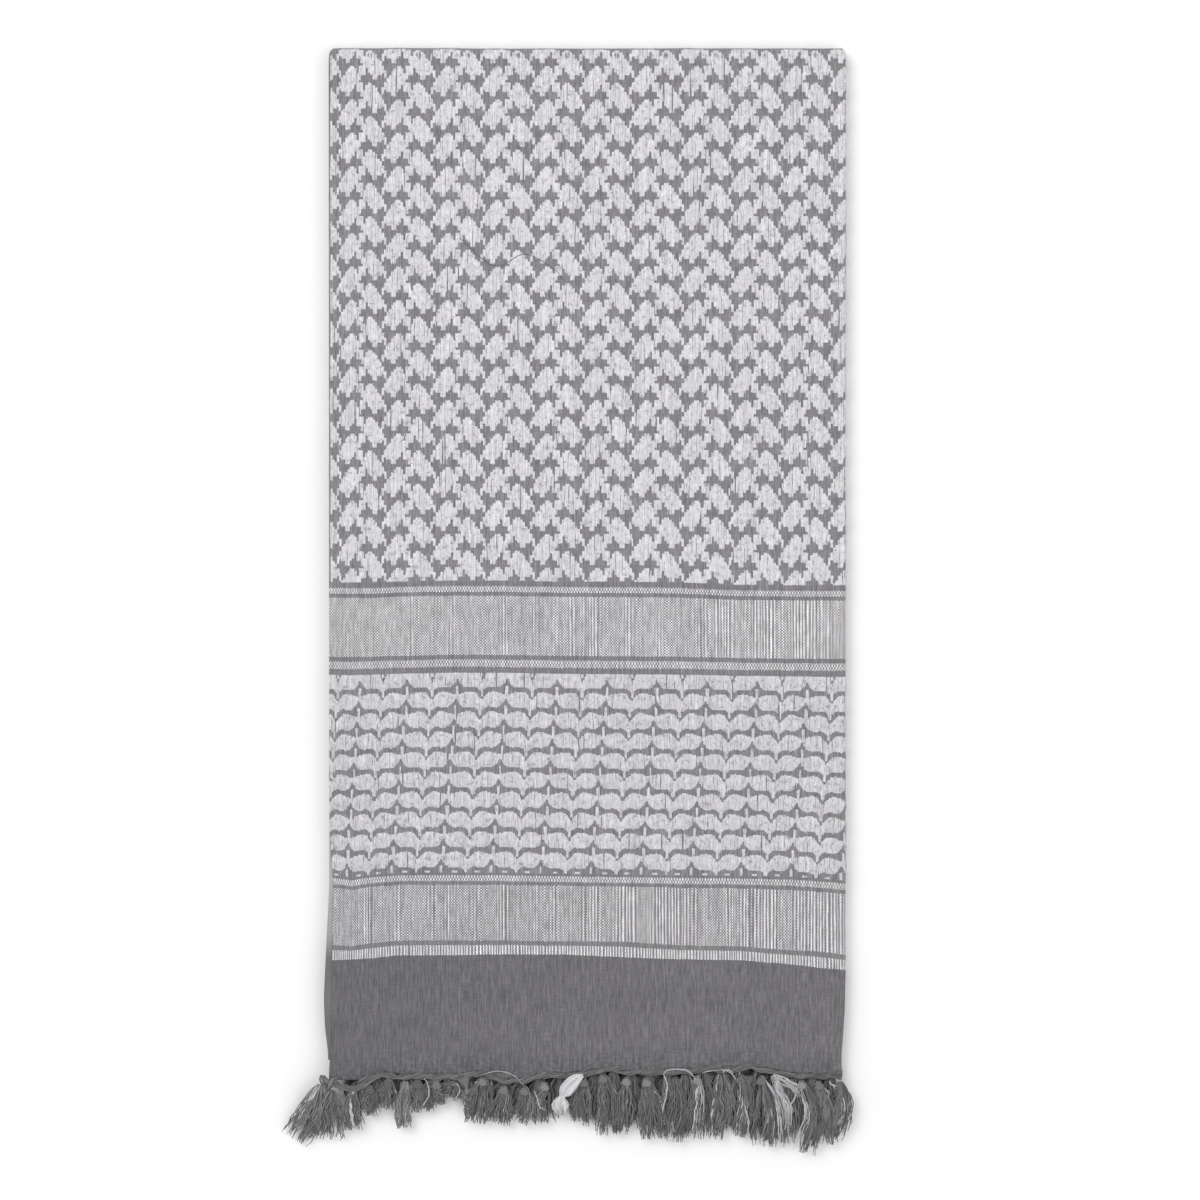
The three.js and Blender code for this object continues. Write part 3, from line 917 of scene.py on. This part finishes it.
def outer_cloth():
    """A closed thin shell: up the front, over the top fold and down the back."""
    columns = cloth_columns()
    rows = cloth_rows()
    faces = []
    weave = []
    for depth in (-GROUND_DEPTH, -WALL):
        u, v = np.meshgrid(columns, rows)
        front = drape(u, v, depth)[::-1]
        back = drape(u, v, depth, back=True)[1:]
        faces.append(np.concatenate([front, back]))
        weave.append(np.concatenate([np.stack([u, v], -1)[::-1], np.stack([u, v], -1)[1:]]))
    count = faces[0].shape[0]
    width = len(columns)
    points = np.concatenate([face.reshape(-1, 3) for face in faces])
    places = np.concatenate([place.reshape(-1, 2) for place in weave])
    outside = grid_quads(count, width)
    inside = grid_quads(count, width, count * width)[:, ::-1]
    index = np.arange(count * width).reshape(count, width)
    rim = np.concatenate([index[0], index[1:, -1], index[-1, -2::-1], index[-2:0:-1, 0]])
    following = np.roll(rim, -1)
    beneath = count * width
    edge = np.stack([rim, following, following + beneath, rim + beneath], axis=-1)
    quads = np.concatenate([outside, inside, edge])
    return make_piece("outer_cloth_woven", points, quads, [ground], places, np.full(len(points), 0.5))


# ---- the hidden layers ----
def hidden_layers():
    """The six layers between, one solid whose left edge shows them as rounded leaves."""
    downs = np.concatenate([HIDDEN_FIRST_ROWS, np.linspace(HIDDEN_ROWS_START, HIDDEN_END, HIDDEN_ROWS)])
    depth_of_layer = (HIDDEN_TOP - HIDDEN_BOTTOM) / (2 * len(LEFT_LEAVES) - 2)
    left = []
    depth = 0.0
    for number, leaf in enumerate(LEFT_LEAVES):
        height = leaf["layers"] * depth_of_layer
        for step in range(LEAF_STEPS + 1):
            share = 2 * step / LEAF_STEPS - 1
            draw = height / 2 * (1 - math.sqrt(1 - share * share)) + LEAF_CREASE * share**8
            wander = LEAF_WANDER * soft_noise(downs, number * 31.0, LEAF_WANDER_PITCH, 1, seed=8)
            reach = table_value(SIDE_EDGES, "down", downs, "second") if leaf["selvedge"] else wander
            x = reach + leaf["inset"] + draw
            z = np.full(len(downs), HIDDEN_TOP - depth - height * step / LEAF_STEPS)
            left.append(np.stack([x, downs, z], axis=-1))
        depth += height
    left = np.stack(left, axis=1)
    nose = np.clip((left[..., 2] - FOLD_RADIUS) / (FOLD_RADIUS - WALL), -1, 1)
    start = FOLD_RADIUS - (FOLD_RADIUS - WALL - 0.6) * np.sqrt(1 - nose**2)
    left[..., 1] = np.maximum(left[..., 1], start + corner_cut(left[..., 0]))
    right = left[:, ::-1].copy()
    right[..., 0] = HIDDEN_RIGHT
    rings = np.concatenate([left, right], axis=1)
    count, size, _ = rings.shape
    index = np.arange(count * size).reshape(count, size)
    turned = np.roll(index, -1, axis=1)
    walls = np.stack([index[:-1], turned[:-1], turned[1:], index[1:]], axis=-1).reshape(-1, 4)
    rungs = np.arange(size // 2 - 1)
    first = np.stack([rungs, size - 1 - rungs, size - 2 - rungs, rungs + 1], axis=-1)
    last = first[:, ::-1] + (count - 1) * size
    quads = np.concatenate([walls, first, last])[:, ::-1]
    points = rings.reshape(-1, 3)
    places = np.stack([points[:, 2], points[:, 1]], axis=-1)
    return make_piece("hidden_layers", points, quads, [layers], places, np.full(len(points), 0.5))


# ---- the floats ----
def field_chart():
    """True where the field's repeat is white."""
    white = np.ones((REPEAT_ROWS, REPEAT_COLUMNS), bool)
    for row, cells in enumerate(ISLAND):
        for cell in cells:
            white[row % REPEAT_ROWS, cell] = False
            white[(row + MIRROR_ROW) % REPEAT_ROWS, (MIRROR_COLUMN - cell) % REPEAT_COLUMNS] = False
    return white


def field_runs():
    """Each upright run of white cells in the field: its thread's place, its start and its end."""
    chart = field_chart()
    first_column = math.floor((0.2 - CHART_U) / CELL_WIDTH)
    last_column = math.ceil((WEAVE_WIDTH - 1.5 - CHART_U) / CELL_WIDTH)
    first_row = math.floor((FOLD_START - CHART_V) / CELL_HEIGHT)
    last_row = math.ceil((FIELD_END - CHART_V) / CELL_HEIGHT)
    runs = []
    for column in range(first_column, last_column):
        rows = np.arange(first_row, last_row)
        white = chart[rows % REPEAT_ROWS, column % REPEAT_COLUMNS]
        changes = np.flatnonzero(np.diff(np.concatenate([[False], white, [False]])))
        for start, end in changes.reshape(-1, 2):
            for highest, lowest in ((FOLD_START, FOLD_LINE_START), (FOLD_LINE_END, FIELD_END - 0.4)):
                top = max(CHART_V + (first_row + start) * CELL_HEIGHT, highest)
                bottom = min(CHART_V + (first_row + end) * CELL_HEIGHT, lowest)
                if bottom > top + 0.3:
                    runs.append((CHART_U + (column + 0.5) * CELL_WIDTH, top, bottom, CELL_WIDTH))
    runs = np.array(runs)
    return runs[(runs[:, 0] > 0.4) & (runs[:, 0] < WEAVE_WIDTH - 0.4)]


def wave_runs():
    """Each upright white run of the wave band, between one grey line and the next."""
    width = WAVE_REPEAT / WAVE_STRIPS
    places = np.arange(0.5, WEAVE_WIDTH - 0.5, width)
    runs = []
    for row in range(WAVE_ROWS + 1):
        phase_above = (places - WAVE_PHASE + WAVE_SHIFT * (row - 1)) % WAVE_REPEAT
        phase_below = (places - WAVE_PHASE + WAVE_SHIFT * row) % WAVE_REPEAT
        line = WAVE_FIRST_LINE + WAVE_PITCH * row
        upper = line - WAVE_PITCH + table_value(WAVE_LINE, "along", phase_above, "lower") + WAVE_MARGIN
        lower = line + table_value(WAVE_LINE, "along", phase_below, "upper") - WAVE_MARGIN
        if row == 0:
            from_notch = np.abs(phase_below - NOTCH_PLACE)
            upper = WAVE_START + NOTCH_DEPTH * np.clip(1 - from_notch / NOTCH_HALF, 0, 1)
            dots = places[from_notch < DOT_HALF]
            ones = np.ones(len(dots))
            runs.append(
                np.stack(
                    [dots, (WAVE_START + DOT_TOP) * ones, (WAVE_START + DOT_END) * ones, width * ones],
                    axis=-1,
                )
            )
        steps = CELL_HEIGHT / 2
        upper = np.round(upper / steps) * steps
        lower = np.minimum(np.round(lower / steps) * steps, WAVE_END)
        runs.append(np.stack([places, upper, lower, np.full(len(places), width)], axis=-1))
    runs = np.concatenate(runs)
    return runs[runs[:, 2] > runs[:, 1] + 0.4]


def split_runs(runs, parts):
    """Divides each run into narrower strips side by side."""
    strips = []
    for part in range(parts):
        strip = runs.copy()
        strip[:, 3] = runs[:, 3] / parts
        strip[:, 0] = runs[:, 0] + (part + 0.5) * strip[:, 3] - runs[:, 3] / 2
        strips.append(strip)
    return np.concatenate(strips)


def ribbon_piece(name, u, v, half_width, base, crown, tone, back=False):
    """Low ridges of yarn along given places in the weave, each with three points across."""
    count, steps = u.shape
    u3 = np.stack([u - half_width, u, u + half_width], axis=-1)
    v3 = np.repeat(v[:, :, None], 3, axis=2)
    heights = np.stack([base - FLOAT_TUCK, base + crown, base - FLOAT_TUCK], axis=-1)
    u3 = np.clip(u3, 0.05, WEAVE_WIDTH)
    points = drape(u3, v3, heights, back).reshape(-1, 3)
    index = np.arange(count * steps * 3).reshape(count, steps, 3)
    quads = np.stack(
        [index[:, :-1, :-1], index[:, 1:, :-1], index[:, 1:, 1:], index[:, :-1, 1:]], axis=-1
    ).reshape(-1, 4)
    if back:
        quads = quads[:, ::-1]
    weave = np.stack([u3, v3], axis=-1).reshape(-1, 2)
    piece = make_piece(name, points, quads, [white_float], weave, np.repeat(tone, steps * 3))
    return piece


def float_piece(name, strips, seed, tone=0.5, steps=FLOAT_STEPS, back=False):
    """Strips of white yarn: each a low ridge that rises from the ground, sways and dives back."""
    chance = np.random.default_rng(seed)
    strips = strips[chance.random(len(strips)) > 0.012]
    count = len(strips)
    place, top, bottom, width = strips.T
    top = top - FLOAT_OVERLAP
    bottom = bottom + FLOAT_OVERLAP
    length = bottom - top
    middle = (top + bottom) / 2
    t = np.array(steps)
    long_share = np.clip(length / LONG_FLOAT, 0.1, 1)
    sway = soft_noise(place, middle, 9, 7, seed + 1) * 0.35 + chance.normal(0, 0.16, count)
    bow = soft_noise(place, middle, 7, 9, seed + 2) * 0.2 + chance.normal(0, 0.12, count)
    u = (
        place[:, None]
        + (sway * long_share)[:, None] * np.sin(2 * math.pi * t)
        + (bow * long_share)[:, None] * np.sin(math.pi * t)
    )
    v = top[:, None] + length[:, None] * t
    rise = np.clip(1 - np.abs(2 * t - 1) ** 7, 0, 1) * np.ones((count, 1))
    lift = FLOAT_LIFT * (0.5 + 0.5 * long_share) + chance.normal(0, 0.07, count)
    base = -GROUND_DEPTH - 0.1 + (0.1 + lift[:, None]) * rise
    half_width = width[:, None] * (0.58 + 0.05 * chance.normal(0, 1, (count, 1))) * (0.88 + 0.12 * rise)
    tones = np.clip(chance.normal(tone, 0.18, count), 0, 1)
    return ribbon_piece(name, u, v, half_width, base, FLOAT_CROWN * (0.3 + 0.7 * rise), tones, back)


def loose_piece(name, runs, seed, tone=0.6):
    """Threads that have slipped sideways over the floats beside them."""
    chance = np.random.default_rng(seed)
    long_runs = runs[(runs[:, 2] - runs[:, 1] > 4.5) & (chance.random(len(runs)) < LOOSE_SHARE)]
    count = len(long_runs)
    place, top, bottom, _ = long_runs.T
    t = np.array(FLOAT_STEPS)
    slip = chance.normal(0, 0.75, count) + soft_noise(place, top, 9, 7, seed) * 0.7
    start = place + chance.uniform(-0.5, 0.5, count)
    u = start[:, None] + slip[:, None] * (t - 0.5) + chance.normal(0, 0.12, (count, len(t)))
    v = top[:, None] + (bottom - top)[:, None] * t
    rise = np.clip(1 - np.abs(2 * t - 1) ** 7, 0, 1) * np.ones((count, 1))
    base = -GROUND_DEPTH + (FLOAT_LIFT + FLOAT_CROWN * 1.25) * rise
    half_width = chance.uniform(0.12, 0.2, (count, 1)) * np.ones(len(t))
    tones = np.clip(chance.normal(tone, 0.25, count), 0, 1)
    return ribbon_piece(name, u, v, half_width, base, 0.1 * rise, tones)


# ---- strands ----
def smooth_line(points, steps):
    """A smooth line through points."""
    points = np.array(points, float)
    padded = np.concatenate([2 * points[:1] - points[1:2], points, 2 * points[-1:] - points[-2:-1]])
    t = np.linspace(0, len(points) - 1, steps)
    i = np.minimum(t.astype(int), len(points) - 2)
    f = (t - i)[:, None]
    a, b, c, d = (padded[i + k] for k in range(4))
    return 0.5 * (2 * b + (c - a) * f + (2 * a - 5 * b + 4 * c - d) * f**2 + (3 * b - a - 3 * c + d) * f**3)


def lock(line, half_widths, half_depths, count, chance, kink=0.3, ragged=0.08):
    """Strands that run together along a line, each in its own place across it, to uneven ends."""
    steps = len(line)
    t = np.linspace(0, 1, steps)
    tangent = np.gradient(line, axis=0)
    aside = np.stack([tangent[:, 1], -tangent[:, 0], np.zeros(steps)], axis=-1)
    aside /= np.linalg.norm(aside, axis=1, keepdims=True) + 1e-9
    clump = np.arange(count) // CLUMP
    clumps = count // CLUMP + 1
    angle = chance.uniform(0, 2 * math.pi, clumps)[clump]
    out = np.sqrt(chance.uniform(0.02, 1, clumps))[clump]
    beside = chance.normal(0, 0.13, count)
    reach = np.clip(1 + chance.normal(-0.5 * ragged, ragged, count), 0.6, 1.1)
    travel = t[None, :] * reach[:, None] * (steps - 1)
    first = np.minimum(travel.astype(int), steps - 2)
    share = (travel - first)[..., None]
    paths = line[first] * (1 - share) + line[first + 1] * share

    def wobble(size):
        shared = (chance.uniform(0.6, 2, (clumps, 1)) * t + chance.random((clumps, 1)))[clump]
        own = chance.uniform(1.5, 4, (count, 1)) * t + chance.random((count, 1))
        return size * (np.sin(2 * math.pi * shared) + 0.6 * np.sin(2 * math.pi * own))

    loosened = np.clip(t * 3, 0, 1)
    drift = chance.normal(0, kink, (clumps, 1))[clump] * t
    side = (out * np.cos(angle) + beside)[:, None] * half_widths + (wobble(kink) + drift) * loosened
    up = (out * np.sin(angle) + beside)[:, None] * half_depths + wobble(0.7 * kink) * loosened
    paths = paths + side[..., None] * aside[None]
    paths[..., 2] = np.maximum(paths[..., 2] + up, STRAND_RADIUS)
    return paths


def strand_radii(paths, radius=STRAND_RADIUS):
    """Radii that taper a little towards the loose end."""
    taper = np.interp(np.linspace(0, 1, paths.shape[1]), [0, 0.8, 1], [1, 1, 0.55])
    return np.tile(radius * taper, (len(paths), 1))


def strand_group(paths, chance, tone, white=False, radius=STRAND_RADIUS):
    """Strands with the facts that strand_piece needs."""
    tones = np.clip(chance.normal(tone, 0.22, len(paths)), 0, 1)
    return {"paths": paths, "radii": strand_radii(paths, radius), "tones": tones, "white": white}


def strand_piece(name, groups):
    """Joins groups of strands in one mesh. The white ones have the second material."""
    points, quads, weave, tone, material_index = [], [], [], [], []
    start = 0
    for group in groups:
        count, steps, _ = group["paths"].shape
        made, faces = tubes(group["paths"], group["radii"])
        points.append(made)
        quads.append(faces + start)
        weave.append(strand_weave(count, steps))
        tone.append(np.repeat(group["tones"], steps * STRAND_SIDES))
        material_index.append(np.full(len(faces), int(group["white"])))
        start += len(made)
    piece = make_piece(
        name,
        np.concatenate(points),
        np.concatenate(quads),
        [grey_yarn, white_yarn],
        np.concatenate(weave),
        np.concatenate(tone),
        np.concatenate(material_index),
    )
    return piece


# ---- the hem cords ----
def hem_cord(name, node, line, seed, strands):
    """A hem rolled and bound into a cord: strands that wind slowly round each other."""
    chance = np.random.default_rng(seed)
    x = np.arange(line[0, 0], WIDTH - CORD_END, CORD_STEP)
    middle = np.column_stack([x, *(np.interp(x, line[:, 0], line[:, axis]) for axis in (1, 2))])
    middle[:, 1] += 0.5 * soft_noise(x, 0 * x, 8, 1, seed)
    knots = np.interp(x, pucker_places, np.arange(len(pucker_places)))
    swell = 0.75 + 0.25 * np.cos(2 * math.pi * knots)
    paths = []
    for strand in range(strands):
        angle = 2 * math.pi * (strand / strands + x / CORD_LAY)
        angle = angle + 0.5 * soft_noise(x, strand * 9.0, 15, 1, seed)
        out = (CORD_RADIUS - 0.15) * swell * math.sqrt(chance.uniform(0.25, 1))
        wave = 0.45 * soft_noise(x, strand * 7.0, 4, 1, seed + 1)
        beside = (out + wave) * np.cos(angle) * CORD_WIDE
        above = (out + wave) * np.sin(angle) * CORD_LOW
        paths.append(middle + np.stack([np.zeros(len(x)), beside, above], axis=-1))
    piece = strand_piece(name, [strand_group(np.array(paths), chance, 0.1, radius=CORD_YARN)])
    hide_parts(node)
    return piece


# ---- tassels ----
def tassel_lock(head, tip, width, count, chance, head_width=HEAD_WIDTH, steps=LOCK_STEPS):
    """The strands of one tassel, from its tied head to its loose ends."""
    t = np.linspace(0, 1, steps)
    half_widths = (
        table_value(TASSEL_FORM, "along", t, "head") * head_width
        + table_value(TASSEL_FORM, "along", t, "tip") * width
    ) / 2
    half_depths = table_value(TASSEL_FORM, "along", t, "depth") * TASSEL_DEPTH / 2
    sway = (tip - head)[[1, 0, 2]] * [-1, 1, 0] * chance.normal(0, 0.06)
    line = smooth_line([head, (head + tip) / 2 + sway, tip], steps)
    return lock(line, half_widths, half_depths, count, chance, kink=0.7, ragged=0.12)


def tied_head(head, tip, tone, chance):
    """Thread wound round the head of a tassel."""
    along = (tip - head) / np.linalg.norm(tip - head)
    aside = np.array([along[1], -along[0], 0.0])
    turns = np.linspace(0, 1, WINDING_STEPS)
    angle = 2 * math.pi * WINDING_TURNS * turns
    bulge = np.sin(math.pi * np.clip(turns * 0.9 + 0.05, 0, 1)) ** 0.5
    path = head + along * (WINDING_START + WINDING_LENGTH * turns[:, None])
    path = path + aside * (np.cos(angle) * WINDING_HALF_WIDTH * bulge)[:, None]
    path[:, 2] += WINDING_RAISE + np.sin(angle) * WINDING_HALF_HEIGHT * bulge
    return strand_group(path[None], chance, tone, radius=WINDING_RADIUS)


def front_tassel(number):
    name = f"tassel_{number:02d}"
    chance = np.random.default_rng(100 + number)
    head, tip, width = tassel_axis(name)
    traits = TASSEL_TRAITS.get(number, {})
    if number == WHITE_BOW:
        line = smooth_line(WHITE_BOW_LINE, 16)
        half_widths = smooth_line([(width, 0, 0) for width in WHITE_BOW_WIDTHS], 16)[:, 0] / 2
        paths = lock(line, half_widths, half_widths * 0.45, STRANDS, chance, kink=0.12, ragged=0.03)
        groups = [strand_group(paths, chance, 0.75, white=True, radius=0.33)]
    else:
        head = head - [0, 0, traits.get("sunk", 0)]
        wide = width * TASSEL_WIDENING * traits.get("wide", 1)
        head_width = HEAD_WIDTH * traits.get("head_wide", 1)
        paths = tassel_lock(head, tip, wide, STRANDS, chance, head_width)
        white = traits.get("white", 1)
        groups = [
            strand_group(paths[white:], chance, 0.08 + traits.get("pale", 0)),
            strand_group(paths[:white], chance, 0.5, white=True),
        ]
        if "sunk" not in traits and "untied" not in traits:
            groups.append(tied_head(head, tip, 0.1 + traits.get("head", 0), chance))
    piece = strand_piece(f"{name}_strands", groups)
    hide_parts(name)
    return piece


def under_tassels(name, line, z_start, z_end, offset, strands, steps, seed):
    """A row of tassels beneath the front one."""
    chance = np.random.default_rng(seed)
    places, reach = far_edge("under_fringe")
    groups = []
    for x in np.linspace(places[0] + 3 + offset, places[-1] - 3, TASSELS):
        if abs(x - FRINGE_GAP) < FRINGE_GAP_HALF:
            continue
        start = np.array([x, np.interp(x, line[:, 0], line[:, 1]) - 0.5, z_start])
        end_x = x + chance.normal(0, 1.5)
        end = np.array([end_x, np.interp(end_x, places, reach) + 0.5, z_end])
        paths = tassel_lock(start, end, 14, strands, chance, steps=steps)
        white = int(chance.integers(0, 4))
        groups.append(strand_group(paths[white:], chance, 0.05))
        groups.append(strand_group(paths[:white], chance, 0.4, white=True))
    return strand_piece(name, [group for group in groups if len(group["paths"])])


def dark_thread():
    """A thin grey thread that lies loose over the field."""
    line = smooth_line([(x, down, 0) for x, down in DARK_THREAD], 48)
    points = drape(line[:, 0], line[:, 1], DARK_THREAD_HEIGHT)
    chance = np.random.default_rng(62)
    return strand_piece("loose_dark_thread", [strand_group(points[None], chance, 0.0, radius=0.14)])


def loose_threads():
    """White threads that lie over the tassels."""
    chance = np.random.default_rng(61)
    groups = []
    for row in THREADS:
        line = [(x, down, THREAD_TOP - THREAD_FALL * (down - LENGTH)) for x, down in row["line"]]
        line = smooth_line(line, 14)
        spread = np.interp(np.linspace(0, 1, 14), [0, 0.4, 1], [0.5, 1, 0.9]) * row["spread"] / 2
        paths = lock(line, spread, spread * 0.4, row["count"], chance, kink=0.35, ragged=0.12)
        groups.append(strand_group(paths, chance, 0.35, white=True, radius=THREAD_RADIUS))
    piece = strand_piece("white_threads", groups)
    return piece


def corner_knot():
    """The tied knot at the hem's left corner, and the cord that sags from it to the hem."""
    points = node_points("corner_knot")
    centre = points.mean(axis=0)
    half = np.ptp(points, axis=0) / 2
    chance = np.random.default_rng(71)
    groups = []
    for turn in KNOT_TURNS:
        line = smooth_line(centre + np.array(turn["line"]) * half, KNOT_STEPS)
        swell = np.interp(np.linspace(0, 1, KNOT_STEPS), [0, 0.5, 1], [0.5, 1, 0.6])
        width = half[1] * turn["width"] * swell
        paths = lock(line, width, width * 0.5, KNOT_STRANDS, chance, kink=0.25, ragged=0.05)
        groups.append(strand_group(paths, chance, turn["tone"]))
    line = smooth_line(SWAG_LINE, SWAG_STEPS)
    width = np.interp(np.linspace(0, 1, SWAG_STEPS), [0, 0.4, 1], [2.2, 2.6, 1.4])
    paths = lock(line, width, width * 0.5, SWAG_STRANDS, chance, kink=0.2, ragged=0.03)
    groups.append(strand_group(paths, chance, 0.12))
    piece = strand_piece("corner_knot_tied", groups)
    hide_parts("corner_knot")
    return piece


# ---- the scarf ----
cloth = outer_cloth()
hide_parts("outer_cloth")
inner = hidden_layers()
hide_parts("inner_layers")

field = field_runs()
field_strips = split_runs(field, 2)
upper_field = field_strips[field_strips[:, 1] < FIELD_END / 2]
lower_field = field_strips[field_strips[:, 1] >= FIELD_END / 2]
waves = wave_runs()
floats = [
    float_piece("field_floats_upper", upper_field, seed=11),
    float_piece("field_floats_lower", lower_field, seed=12),
    float_piece("wave_floats", waves, seed=13, tone=0.3),
    loose_piece("loose_field_threads", field, seed=16),
    loose_piece("loose_wave_threads", waves, seed=17, tone=0.4),
    float_piece("back_field_floats", field, seed=14, steps=COARSE_FLOAT_STEPS, back=True),
    float_piece("back_wave_floats", waves, seed=15, tone=0.3, steps=COARSE_FLOAT_STEPS, back=True),
]

front_cord = hem_cord("front_hem_cord_twisted", "front_hem_cord", front_cord_line, 21, CORD_STRANDS)
back_cord = hem_cord("back_hem_cord_twisted", "back_hem_cord", back_cord_line, 22, HIDDEN_CORD_STRANDS)
knot = corner_knot()
tassels = [front_tassel(number) for number in range(1, TASSELS + 1)]
middle_fringe = under_tassels(
    "middle_fringe", front_cord_line, z_start=6.4, z_end=4.6, offset=5, strands=60, steps=8, seed=31
)
back_fringe = under_tassels(
    "back_fringe", back_cord_line, z_start=2.4, z_end=1.6, offset=0, strands=44, steps=7, seed=32
)
threads = loose_threads()
field_thread = dark_thread()
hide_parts("under_fringe")


# ---- floor, light and camera ----
def plain_floor():
    low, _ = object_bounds()
    mesh = bpy.data.meshes.new("floor")
    corners = [(x * FLOOR_HALF, y * FLOOR_HALF, 0) for x, y in ((-1, -1), (1, -1), (1, 1), (-1, 1))]
    mesh.from_pydata(corners, [], [(0, 1, 2, 3)])
    s = Shader("pale_floor", roughness=0.8, sheen=0.0)
    s.surface.inputs["Base Color"].default_value = srgb(FLOOR_TONE, FLOOR_TONE, FLOOR_TONE)
    mesh.materials.append(s.material)
    floor = bpy.data.objects.new("floor", mesh)
    floor.location.z = low.z
    bpy.context.scene.collection.objects.link(floor)


def area_light(name, place, aim, size, power):
    data = bpy.data.lights.new(name, "AREA")
    data.shape = "SQUARE"
    data.size = size
    data.energy = power
    light = bpy.data.objects.new(name, data)
    light.location = place
    direction = aim - light.location
    light.rotation_euler = direction.to_track_quat("-Z", "Y").to_euler()
    bpy.context.scene.collection.objects.link(light)


def overhead_camera():
    data = bpy.data.cameras.new("camera")
    data.lens = CAMERA_LENS
    data.sensor_width = SENSOR
    camera = bpy.data.objects.new("camera", data)
    distance = VIEW_WIDTH * CAMERA_LENS / SENSOR
    x, y = VIEW_CENTRE
    camera.location = (x * MM, y * MM, (THICKNESS + distance) * MM)
    bpy.context.scene.collection.objects.link(camera)
    bpy.context.scene.camera = camera


middle = (cad_low + cad_high) / 2
plain_floor()
for light in LIGHTS:
    area_light(light["name"], middle + Vector(light["place"]), middle, light["size"], light["power"])
world = bpy.data.worlds.new("studio")
world.use_nodes = True
world.node_tree.nodes["Background"].inputs["Color"].default_value = (1, 1, 1, 1)
world.node_tree.nodes["Background"].inputs["Strength"].default_value = WORLD_STRENGTH
bpy.context.scene.world = world
bpy.context.scene.view_settings.view_transform = "Standard"
overhead_camera()
